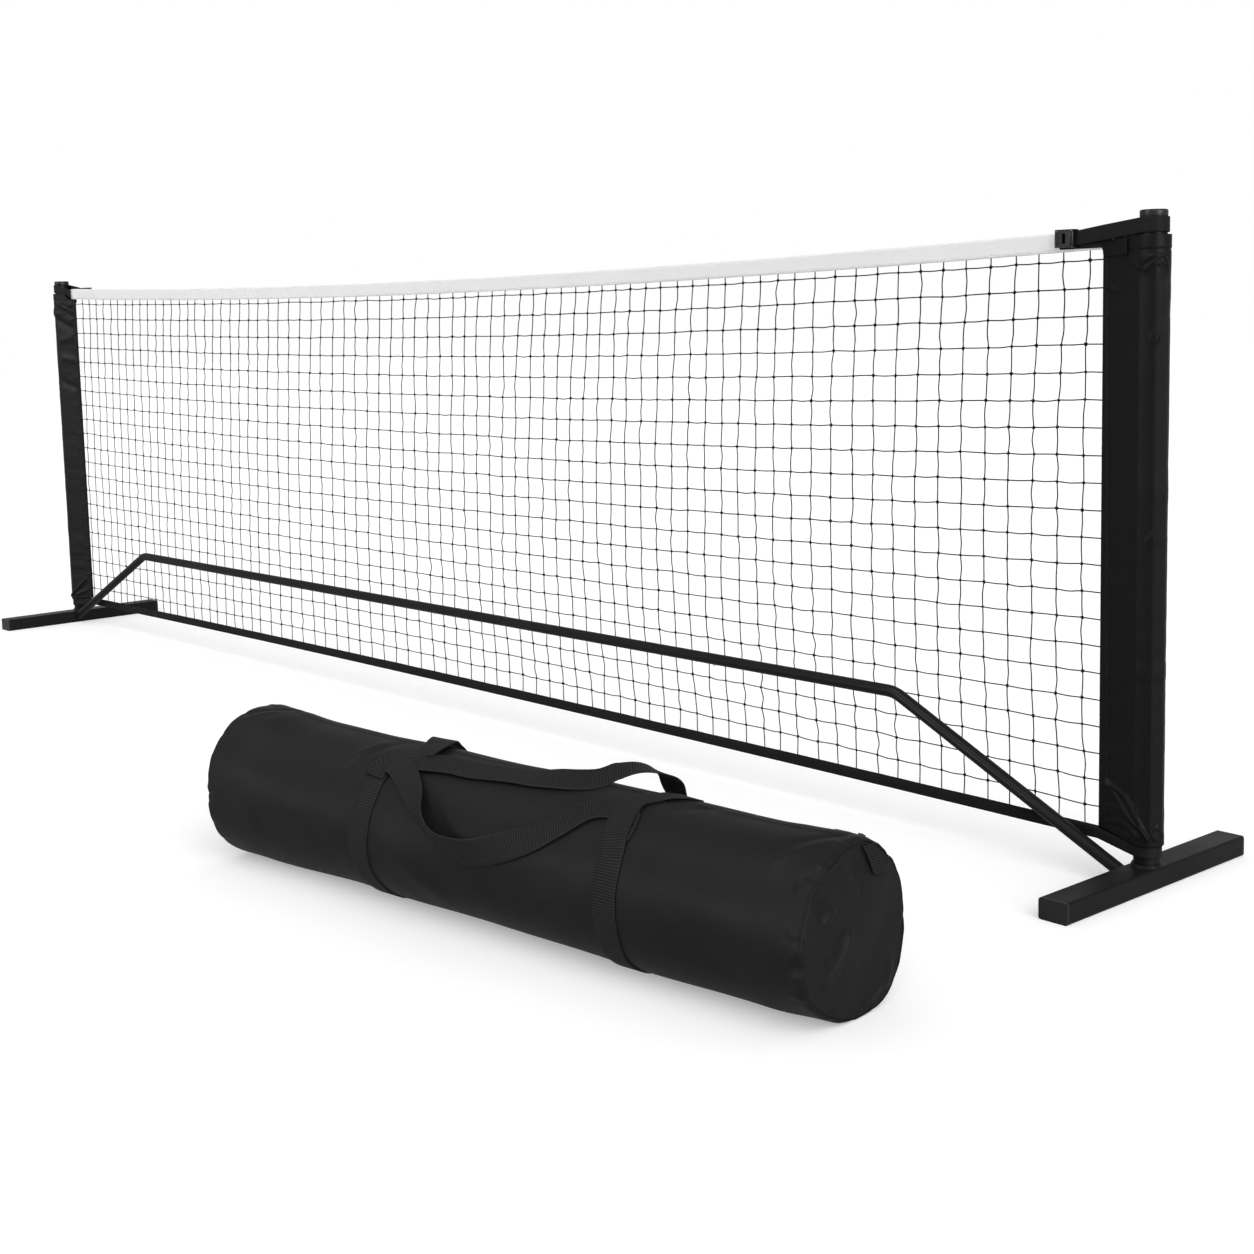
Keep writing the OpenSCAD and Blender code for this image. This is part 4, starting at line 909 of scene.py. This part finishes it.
def make_sleeve(side):
    """Cloth round the post and back; folds are heights along its way out."""
    k = 1 if side == "right" else -1
    x0, y0, nx, ny, run, a = sleeve_plan(44, 76).T
    s = np.where(a == 180, BEHIND, 2 * run[np.argmin(np.abs(a))] - run)
    s = np.where((y0 < 0) | (a < 0), run, s)
    low, high = sleeve_heights(x0)
    v = [np.linspace(0, 0.13, 56), np.linspace(0.13, 0.93, 150)[1:-1], np.linspace(0.93, 1, 40)]
    z = low + np.concatenate(v)[:, None] * (high - low)
    base, top = LOW_STRAP_Z + 8, SLEEVE_TOP - 16
    flat = ease((top - 22 - z) / 22) * ease((z - base - 10) / 24)
    folds = np.zeros_like(z)
    for c, d in zip(CORNERS, CORNERS[1:]):
        mid, half = (c + d) / 2, (d - c) / 2
        turn = np.radians(np.clip(a - mid, -half, half))
        chord = SLEEVE_R * (math.cos(math.radians(half)) / np.cos(turn) - 1)
        share = 0.25 if c >= 0 or side == "left" else 0.5 if c < -50 else 0.92
        folds = folds + share * chord * ((a >= c) & (a < d)) * flat
    folds = folds + (0.7 * np.exp(-(((a + 47) / 4) ** 2)) + 0.4 * np.exp(-((a / 4) ** 2))) * flat
    seen = ease(s / 9)
    for line, w, h in SLEEVE_FOLDS[side]:
        folds = folds + 1.5 * h * seen * ridge(s, z, line, w)
    back = np.where(s == BEHIND, run, 0)
    folds = folds + 1.6 * (s == BEHIND) * ease(back / 9) * (
        ridge(back, z, [(16, 120), (60, 88), (73, 72)], 4) + 0.6 * ridge(back, z, [(18, 852), (66, 862)], 3))
    hem = 10 + 9 * (800 - z) / 700
    near_hem = np.where(run < 60, run, 60)
    folds = folds + 0.8 * (1 - ease((near_hem - hem + 1) / 2.5)) * ease(near_hem / 2) \
        - 0.5 * np.exp(-(((near_hem - hem) / 1.4) ** 2))
    for j in range(NET_ROWS):
        at = mesh_point(NET_COLUMNS, j)[1]
        pull = ridge(near_hem, z, [(1, at), (hem.mean() + 6, at - 3)], 2.4)
        folds = folds + 0.7 * pull * ease(near_hem / 3)
    rim = 0.3 * ease((z - (top - 3)) / 2.5) - 0.7 * np.exp(-(((z - top + 4) / 1.6) ** 2))
    folds = folds + rim * ease(run / 30)
    slow = np.convolve(rng.normal(0, 1, 500), np.ones(13) / 13, "same")
    sway = np.interp(z.ravel(), np.linspace(40, 900, 500), slow).reshape(z.shape)
    sway = (0.7 if side == "right" else 1.2) * sway * np.cos(run / 34 + z / 90)
    folds = folds + sway * ease(run / 30) * flat
    p = np.stack([x0 + folds * nx, y0 + folds * ny, z], -1)
    along = np.concatenate([[0], np.cumsum(np.hypot(np.diff(x0), np.diff(y0)))])
    us = np.append(along, along[-1] + 3.2) / 1000
    p[..., 0] = k * (p[..., 0] + POST_X)
    faces, uv = grid_faces(p, us, z[:, len(x0) // 2] / 1000, ring=True)
    ob = make_piece(side + "_sleeve_cloth", p.reshape(-1, 3), faces, uv, "sleeve_fabric", "net_frame")
    thick(ob, THIN_CLOTH)
    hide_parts(side + "_sleeve")
    lines = []
    for which in (1, -1):
        at = [int(np.argmin(np.abs(run - h) + 900 * (np.sign(y0) != which))) for h in hem[:, 0]]
        lines.append([p[i, j] + (0, which * 0.15, 0) for i, j in enumerate(at)][2:-2])
    row = int(np.argmin(np.abs(z[:, len(x0) // 2] - (top - 1))))
    lines.append([p[row, j] + np.array([k * nx[j], ny[j], 0]) * 0.15 for j in range(30, len(x0) - 30)])
    sewn(side + "_sleeve_stitches", lines, "net_frame", length=2.8, pitch=3.8, r=0.3)


# ---- straps -------------------------------------------------------------------------


def placed_side(p, side, turned=False):
    """Points of the right side as they are; mirrored or turned about the middle for the left."""
    p = np.array(p, float)
    if side == "right":
        return p
    return p * (-1, -1, 1) if turned else p * (-1, 1, 1)


def loop_points(z, step=7):
    """Round the post's outer side, from front to back."""
    return [(POST_X + LOOP_R * math.cos(math.radians(a)), LOOP_R * math.sin(math.radians(a)), z)
            for a in range(-98, 99, step)]


def make_straps(side):
    """Top strap from the buckle round the post to the headband, low strap round the post's foot."""
    end_z = MESH_HIGH + (27 - 1.2) / 2
    y, z = 2.3 + 0.3 + 1.0 + 0.3, LOW_STRAP_Z + 9
    top = [(BUCKLE_X + x, -STRAP_Y, BUCKLE_Z) for x in (-20, 0, 15)] + [
        (BUCKLE_X + 60, -STRAP_Y - 4.9, BUCKLE_Z + 5.4)] + loop_points(STRAP_Z) + [
        (TAPE_HALF + 2, 0, end_z), (MESH_HALF + 3, 0, end_z)]
    low = [(MESH_HALF - 24, -y, z), (MESH_HALF, -y, z)] + loop_points(LOW_STRAP_Z) + [
        (MESH_HALF, y, z), (MESH_HALF - 24, y, z)]
    for name, path, n, turned in (("_top_strap", top, 10, True), ("_low_strap", low, 6, False)):
        up = np.tile([0, 0, 1.0], (len(path), 1))
        p, faces, uv = ribbon_mesh(path, up, STRAP_WIDTHS[name], WEBBING_T, n)
        p = placed_side(p, side, turned)
        ob = make_piece(side + name + "_webbing", p, faces, uv, "webbing", "net_frame")
        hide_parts(side + name)


def make_end_patch(side):
    """Sewn patch over the end of the headband and the sleeve's corner."""
    low, top, start = MESH_HIGH + 2, SLEEVE_TOP - 3, BUCKLE_X - BUCKLE_L / 2 - 1
    turn = math.radians(-16.33)
    band, sleeve = np.linspace(start, MESH_HALF, 30), np.linspace(0, 50, 24)[1:]
    x = np.append(band, MESH_HALF + sleeve * math.cos(turn))
    y = np.append(np.full(30, -PATCH_Y - 1.2), -PATCH_Y - 1.6 + sleeve * math.sin(turn))
    lo = np.append(np.full(30, low), low - 12 * ease(sleeve / 4))
    rise = (top - TAPE_TOP + 2) * (band - start) / (MESH_HALF - start)
    hi = np.append(TAPE_TOP - 2 + rise, np.full(len(sleeve), top))
    p = np.stack(np.broadcast_arrays(x, y, lo + (hi - lo) * np.linspace(0, 1, 10)[:, None]), -1)
    us = np.append(band - start, MESH_HALF - start + sleeve) / 1000
    faces, uv = grid_faces(p, us, np.linspace(0, 0.024, 10))
    ob = make_piece(side + "_end_patch_cloth", placed_side(p.reshape(-1, 3), side, True), faces, uv,
                    "sleeve_fabric", "net_frame", way=(0, -1 if side == "right" else 1, 0))
    thick(ob, 1.1)
    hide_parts(side + "_end_patch")
    rim = [(MESH_HALF + x * math.cos(turn), -PATCH_Y - 1.75 + x * math.sin(turn), z) for x, z in (
        (3, low - 8), (36, low - 8), (36, top - 3), (3, top - 3), (3, low - 8), (36, top - 3))]
    lines = [placed_side(curve_through(rim[i : i + 2], 12), side, True) for i in range(5)]
    sewn(side + "_end_patch_stitches", lines, "net_frame", r=0.4)


# ---- bag ----------------------------------------------------------------------------


def bag_place(u, v, w):
    """Bag's own place, along it, across it and up from its axis, to the net's millimetres.
    The right end is pulled a little askew."""
    c, s = math.cos(BAG_TURN), math.sin(BAG_TURN)
    u, v, w = np.broadcast_arrays(np.asarray(u, float), np.asarray(v, float), np.asarray(w, float))
    u = u - (3.5 + 3.5 * v / BAG_R * (1 - 1.2 * ease((20 - w) / 80))) * ease((u - 430) / 120)
    return np.stack([BAG_AT[0] + u * c - v * s, BAG_AT[1] + u * s + v * c, BAG_AT[2] + w], -1)


# Creases of the bag's cloth: line of (along the bag, angle from the top in degrees), width, height
BAG_CREASES = [
    ([(-538, 18), (-491, -11)], 7, -1.8), ([(-544, 30), (-505, 8)], 9, 1.2),
    ([(-263, 39), (-240, 16), (-226, 3)], 7, -1.6), ([(-272, 34), (-250, 10)], 8, 1.0),
    ([(300, 10), (345, -9)], 8, -1.5), ([(480, 25), (535, -7)], 7, -1.6), ([(489, 34), (540, 4)], 8, 1.2),
    ([(-556, 88), (-544, 87)], 5, -2.2), ([(-150, 88), (-60, 118)], 20, 1.6),
    ([(60, 100), (170, 84)], 22, -1.6), ([(340, 60), (450, 78)], 26, 1.5),
    ([(330, 96), (440, 108)], 22, -1.2), ([(-480, 60), (-360, 78)], 26, 1.4),
    ([(-420, 100), (-300, 92)], 20, -1.2),
]
SEAM_PUCKERS = [
    ([(538, 30), (553, 31)], 4, 2.2), ([(536, 50), (553, 53)], 5, 2.4), ([(540, 40), (553, 41)], 4, -1.6),
    ([(551, 86), (541, 92), (536, 99), (545, 105), (556, 103)], 3.4, 2.2),
    ([(546, 96), (556, 97)], 5, -2.4), ([(545, 70), (556, 68)], 4, -1.2), ([(541, 78), (555, 79)], 4, 1.1),
    ([(540, 118), (556, 120)], 5, 1.2), ([(544, 8), (556, 7)], 5, 1.2),
]
PANEL_FOLDS = [
    ([(-17, 72), (-36, 92)], 7, 2.2), ([(-26, 66), (2, 52)], 6, 1.6), ([(-6, 84), (8, 52)], 5, -1.2),
    ([(-68, 60), (-52, 50), (-48, 39), (-59, 28)], 4.5, 2.4), ([(-76, 50), (-66, 34)], 6, -1.6),
    ([(-14, 0), (-22, -14), (-38, -30), (-56, -43)], 5, 2.6), ([(-30, 2), (-60, -18)], 8, -1.6),
    ([(-88, -14), (-60, -10), (-37, -6)], 4, 1.8), ([(-86, -30), (-56, -46)], 6, 1.3),
    ([(50, -72), (20, -84)], 5, 1.8), ([(66, -52), (58, -76)], 5, 1.6), ([(30, 60), (60, 50)], 12, 1.0),
    ([(20, -40), (60, -10)], 18, -1.2),
]
# Swells of the bag near its ends: height, angle, spread, end (0 for all along), start and reach
BAG_SWELLS = [
    (1, -4, 15, 1, 480, 60), (7, 12, 34, -1, 400, 90), (2.2, -14, 9, 0, -1, 1), (4, 38, 28, -1, 440, 80),
    (-3, 90, 20, -1, 440, 80), (-3, 152, 22, -1, 440, 80), (1.5, -64, 16, 1, 470, 80),
    (7, -142, 20, 1, 470, 80), (-6, 150, 24, 1, 470, 80),
]
ZIP_BED_R = 106.2  # radius that the cloth keeps within beside the zip
PUCKER_ANGLES = np.cumsum(rng.uniform(9, 22, 23)) % 360 - 180
PUCKER_HEIGHTS, PUCKER_WIDTHS = rng.uniform(-2.0, 1.4, 23), rng.uniform(2, 4.5, 23)


def puckers(deg, end, spread=1.0):
    """Height of the seam's puckers at angles round one end of the bag."""
    out = 0
    for at, height, width in zip(PUCKER_ANGLES, PUCKER_HEIGHTS, PUCKER_WIDTHS):
        turn = (deg - at + 180 + 7 * end) % 360 - 180
        out = out + height * np.exp(-((turn / width / spread) ** 2))
    return out


def bag_radius(u, a):
    """Radius of the bag's cloth at u along it and angle a from the top towards the front."""
    u, a = np.broadcast_arrays(np.asarray(u, float), np.asarray(a, float))
    deg, arc = np.degrees(a), a * BAG_R
    r = np.interp(u, (-560, -500, -448, -280, 0, 280, 480, 560),
                  (113.6, 112.3, 110, 106.6, 106, 106.6, 106, 106.5))
    e = np.clip((np.abs(u) - BAG_SEAM + 13) / 13, 0, 1)
    r = r - 4.5 * (1 - np.sqrt(np.maximum(1 - e * e, 0)))
    r = r + 1.2 * np.sin(u / 97 + 1.7 * np.sin(a) + 0.6) * np.sin(1.3 * a + u / 171 + 0.4)
    r = r + 0.5 * np.sin(u / 37 + 2.3 * a)
    for height, at, spread, end, start, reach in BAG_SWELLS:
        r = r + height * np.exp(-(((deg - at) / spread) ** 2)) * ease((end * u - start) / reach)
    r = r + 1.2 * np.exp(-(((deg + 16) / 9) ** 2)) * ease((u - 430) / 40) * ease((556 - u) / 30)
    for at in (-6, -50):
        r = r + 0.8 * ease((4.2 - np.abs(arc - math.radians(at) * BAG_R)) / 1.2)
    for line, w, h in BAG_CREASES + SEAM_PUCKERS:
        r = r + 1.3 * h * ridge(u, arc, [(x, math.radians(d) * BAG_R) for x, d in line], w)
    for end in (-1, 1):
        r = r + puckers(deg, end) * np.exp(-(np.maximum(BAG_SEAM - end * u, 0) / 22) ** 2)
    by_zip = np.exp(-(((deg - ZIP_ANGLE) / 11) ** 4)) * ease((558 - np.abs(u)) / 8)
    return r + (np.minimum(r, ZIP_BED_R) - r) * by_zip


def bag_skin(u, a):
    """Place across and up of the bag's cloth, lying flat on the floor below."""
    r = bag_radius(u, a)
    near_band = sum(ease((36 - np.abs(u - x)) / 14) for x in BAND_AT)
    floor = -BAG_AT[2] + 0.4 + 2.3 * near_band
    w = r * np.cos(a)
    return -r * np.sin(a), floor + 2.2 * np.logaddexp(0, (w - floor) / 2.2)


def make_bag():
    """The tube of cloth and its two puffed end panels."""
    n = 180
    half = np.concatenate([np.arange(0, 470, 6.0), np.arange(470, 524, 3.0), np.linspace(524, BAG_SEAM, 23)])
    us = np.concatenate([-half[:0:-1], half])
    angles = np.linspace(-math.pi, math.pi, n, endpoint=False)
    U, A = np.meshgrid(us, angles, indexing="ij")
    v, w = bag_skin(U, A)
    p = bag_place(U, v, w)
    faces, uv = grid_faces(p, np.linspace(0, 2 * math.pi * BAG_R, n + 1) / 1000, us / 1000, ring=True)
    ob = make_piece("bag_cloth", p.reshape(-1, 3), faces, uv, "bag_fabric", "bag")
    thick(ob, BAG_CLOTH)
    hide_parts("bag_shell")

    points, faces, uv = [], [], []
    ts = np.concatenate([[1.0, 0.985, 0.965], np.linspace(0.94, 0.04, 26)])
    rings, reach = len(ts), 0.1 * np.append(ts, 0)
    for s in (-1, 1):
        rim_v, rim_w = bag_skin(np.full(n, s * BAG_SEAM), angles)
        puff = puckers(np.degrees(angles), s, 1.3)
        first = len(points)
        for t in ts:
            v, w = rim_v * t, rim_w * t
            out = 3.0 * (1 - t * t) - 1.6 * (t > 0.99) - 0.4
            for line, width, h in PANEL_FOLDS:
                out = out + 1.5 * h * ridge(v * s, w, line, width) * ease((1 - t) / 0.05)
            out = out - 1.1 * puff * np.exp(-(((1 - t) / 0.16) ** 2)) * ease((1 - t) / 0.03)
            points += bag_place(s * (BAG_SEAM - 0.2 + out), v, w).tolist()
        points.append(bag_place(s * (BAG_SEAM + 2.6), 0, 0).tolist())
        for j in range(n):
            k = (j + 1) % n
            for i in range(rings):
                corners = [(i, j), (i + 1, j), (i + 1, k), (i, k)][: 4 if i < rings - 1 else 2]
                corners = (corners if i < rings - 1 else corners + [(i, k)])[::-s]
                faces.append([first + (a * n + b if a < rings else rings * n) for a, b in corners])
                uv += [(reach[a] * math.sin(angles[b]), reach[a] * math.cos(angles[b])) for a, b in corners]
    ends = make_piece("bag_end_panels", points, faces, uv, "bag_fabric", "bag")
    thick(ends, BAG_CLOTH)
    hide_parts("bag_ends")


def bag_line(u, degrees, height):
    """Points at a height above the bag's cloth."""
    a = np.radians(np.asarray(degrees, float))
    v, w = bag_skin(np.asarray(u, float), a)
    return bag_place(u, v - height * np.sin(a), w + height * np.cos(a))


def bag_strip(name, places, node, steps=6, w=WEBBING_W):
    """A strap over the bag through places: along it, angle from the top, height above the
    cloth and how far its upper edge turns outwards, in degrees."""
    q = curve_through(np.array([(*p, 0) if len(p) == 3 else p for p in places], float), steps)
    a = np.radians(q[:, 1])
    v, up = bag_skin(q[:, 0], a)
    out = np.stack([np.zeros(len(q)), -np.sin(a), np.cos(a)], 1)
    own = np.stack([q[:, 0], v, up], 1) + out * q[:, 2:3]
    across = unit(np.cross(out, unit(np.gradient(own, axis=0))))
    twist = np.radians(q[:, 3:4])
    across = across * np.cos(twist) + out * np.sin(twist)
    p, faces, uv = ribbon_mesh(own, across, w, WEBBING_T, 8)
    p = bag_place(*p.T)
    p[:, 2] = np.maximum(p[:, 2], 0.2)
    ob = make_piece(name, p, faces, uv, "bag_webbing", "bag")
    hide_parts(node)


def lean(h, twist):
    """Height that keeps the lower edge of a turned strap on the cloth."""
    return h + WEBBING_W / 2 * math.sin(math.radians(twist))


def make_bag_webbing():
    """Two bands, two handles with their free loops, the end tab and their stitches."""
    lie, over = WEBBING_T / 2 + 0.4, WEBBING_T * 1.5 + 0.5
    left, right = BAND_AT
    down = list(range(24, 285, 6))
    course = left + np.interp(down, (24, 42, 62, 83, 100, 117, 180, 284), (0, 3, 4, 1, -4, -7, 0, 0))
    bag_strip("bag_left_band_webbing", [(x, a, lie) for x, a in zip(course, down)], "bag_left_band", 1)
    down = list(range(-22, 285, 4))
    course = np.interp(down, (-22, -8, -1, 9, 12, 18, 31, 59, 106, 137, 180, 284),
                       (290, 267, 251, 241, 239, 241, 248, right + 2, right + 2, right - 6, right, right))
    course = np.convolve(np.pad(course, 2, "edge"), np.ones(5) / 5, "valid")
    raised = np.interp(down, (4, 14, 44, 56), (lie, over + 0.4, over + 0.4, lie))
    bag_strip("bag_right_band_webbing", list(zip(course, down, raised)), "bag_right_band", 1)
    bag_strip("bag_front_handle_webbing", [
        (left, 44, over), (left + 2, 35, over + 1), (left + 13, 31, 5), (left + 32, 31, 7),
        (left + 50, 35, 7), (left + 68, 41, lean(3, 5), 5), (left + 86, 47, lean(3, 10), 10),
        (left + 108, 55, lean(3, 18), 18), (-61, 66, lean(3, 42), 42), (-33, 74, lean(3, 48), 48),
        (-3, 78, lean(3, 38), 38), (35, 78, lean(3, 22), 22), (79, 71, lean(3, 10), 10), (125, 60, 3),
        (162, 46, 3.4), (191, 31, 3.4), (212, 25, 2.2), (232, 24, lie), (250, 29, lie), (257, 37, lie),
        (258, 46, lie)], "bag_front_handle")
    bag_strip("bag_rear_handle_webbing", [
        (left, -98, over), (left, -82, over), (left, -64, 5), (left + 4, -46, 8), (left + 10, -32, 10),
        (left + 24, -18, 9), (left + 42, -4, 8), (left + 52, 9, 8), (-147, 19, 6), (-132, 22, 5),
        (-108, 20, 4), (-73, 18, 3.4), (-34, 18, 3), (34, 14.5, 3.2), (71, 13, lean(2, 8), 8),
        (101, 10.5, lean(2, 16), 16), (130, 7, lean(1, 22), 22), (156, 1, lean(2, 26), 26),
        (176, -9, 19, 24), (194, -17, 26, 16), (208, -25, 28, 8), (213, -33, 26), (209, -45, 17),
        (216, -58, 10), (240, -72, 7), (right, -84, over + 0.7), (right, -98, over)], "bag_rear_handle")
    path = curve_through([(1.6, 26, 98.5), (3.4, 31, 89), (4.4, 38, 75), (4.6, 45, 60)], 6) + (BAG_SEAM, 0, 0)
    p, faces, uv = ribbon_mesh(path, np.tile([0, 1.0, -0.08], (len(path), 1)), TAB_W, WEBBING_T, 8)
    ob = make_piece("bag_end_tab_webbing", bag_place(*p.T), faces, uv, "bag_webbing", "bag")
    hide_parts("bag_end_tab")
    lines = []
    for x, low, high in ((left, 33, 43), (right - 2, 34, 44)):
        for across in (-WEBBING_W / 2 + 4, WEBBING_W / 2 - 4):
            lines.append(bag_line(np.full(12, x + across), np.linspace(low, high, 12), over + 1.1))
        for at in (low, high):
            lines.append(bag_line(np.linspace(x - 15, x + 15, 12), np.full(12, at), over + 1.1))
    sewn("bag_webbing_stitches", lines, "bag", length=2.8, pitch=3.6, r=0.4)


def make_zip():
    """Two tapes and two rows of teeth along the bag, behind its top."""
    us = np.linspace(-ZIP_L / 2, ZIP_L / 2, 130)
    points, faces, uv = [], [], []
    for side in (-1, 1):
        edges = [ZIP_ANGLE + side * math.degrees(d / BAG_R) for d in (3, 6, 10, 14, 17)[::-side]]
        rows = np.array([bag_line(us, np.full(len(us), e), 0.9) for e in edges])
        more, maps = grid_faces(rows, us / 1000, np.array([0, 3, 7, 11, 14]) / 1000)
        faces += (np.array(more) + len(points)).tolist()
        points += rows.reshape(-1, 3).tolist()
        uv += maps
    tapes = make_piece("zip_tape_cloth", points, faces, uv, "bag_webbing", "bag", way=(0, 0.5, 0.8))
    thick(tapes, 0.7)
    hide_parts("zip_tapes")
    turn = math.radians(ZIP_ANGLE)
    block = np.array([(x, y, z) for x in (-0.75, 0.75) for y in (-1.9, 1.9) for z in (-0.8, 1.0)])
    block[:, 1] *= np.where(block[:, 2] > 0, 0.8, 1.0)
    c, s = math.cos(turn), math.sin(turn)
    block = np.stack([block[:, 0], block[:, 1] * c - block[:, 2] * s, block[:, 1] * s + block[:, 2] * c], 1)
    sides = [[0, 1, 3, 2], [4, 6, 7, 5], [0, 4, 5, 1], [2, 3, 7, 6], [0, 2, 6, 4], [1, 5, 7, 3]]
    tooth = single("one_tooth", block, sides, False)
    lines = [bag_line(us[3:-3] + shift, np.full(len(us) - 6, ZIP_ANGLE + math.degrees(d / BAG_R)), 1.2)
             for d, shift in ((-1.5, 0.0), (1.5, 1.3))]
    values = {"Piece": tooth, "Pitch": TOOTH_PITCH / 1000, "Vary": 0.0, "Seed": 1,
              "Material": FINISH["zip_plastic"]}
    teeth = grown(loose_lines("zip_lines", lines), "zip_teeth", EVEN_ROW, values, "bag")
    bpy.data.objects.remove(tooth)
    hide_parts("zip_chain")


def sew_bag():
    """Rows of stitches along the felled seams and round both end panels."""
    us = np.arange(-540, 541, 6.0)
    lines = [bag_line(us, np.full(len(us), at + math.degrees(d / BAG_R)), 0.15)
             for at in (-6, -50) for d in (-3.1, 3.1)]
    for s in (-1, 1):
        lines.append(bag_line(np.full(241, s * (BAG_SEAM - 5)), np.linspace(-180, 180, 241), 0.15))
    sewn("bag_seam_stitches", lines, "bag", length=2.6, pitch=3.6, r=0.3)


# ---- whole --------------------------------------------------------------------------

aim_camera()
light_stage()
for node, ob in frame["nodes"].items():
    slot = next(s["material_slot"] for s in frame["record"]["subparts"] if s["node"] == node)
    ob.data.materials.clear()
    ob.data.materials.append(FINISH[slot])
make_netting()
make_headband()
make_bottom_band()
for which in ("right", "left"):
    make_sleeve(which)
    make_straps(which)
    make_end_patch(which)
    softened(which + "_foot_caps", "net_frame", "cap_plastic", 1.2)
    softened(which + "_post_cap", which + "_post", "cap_plastic", 0.6)
    softened(which + "_buckle_frame", "net_frame", "buckle_plastic", 0.35)
    softened(which + "_buckle_cam", which + "_buckle_cam", "buckle_plastic", 0.3)
make_bag()
make_bag_webbing()
make_zip()
sew_bag()
softened("zip_slider", "zip_slider", "zip_metal", 0.25)
softened("zip_puller", "zip_puller", "zip_metal", 0.25)

bpy.context.scene.view_settings.view_transform = "Standard"
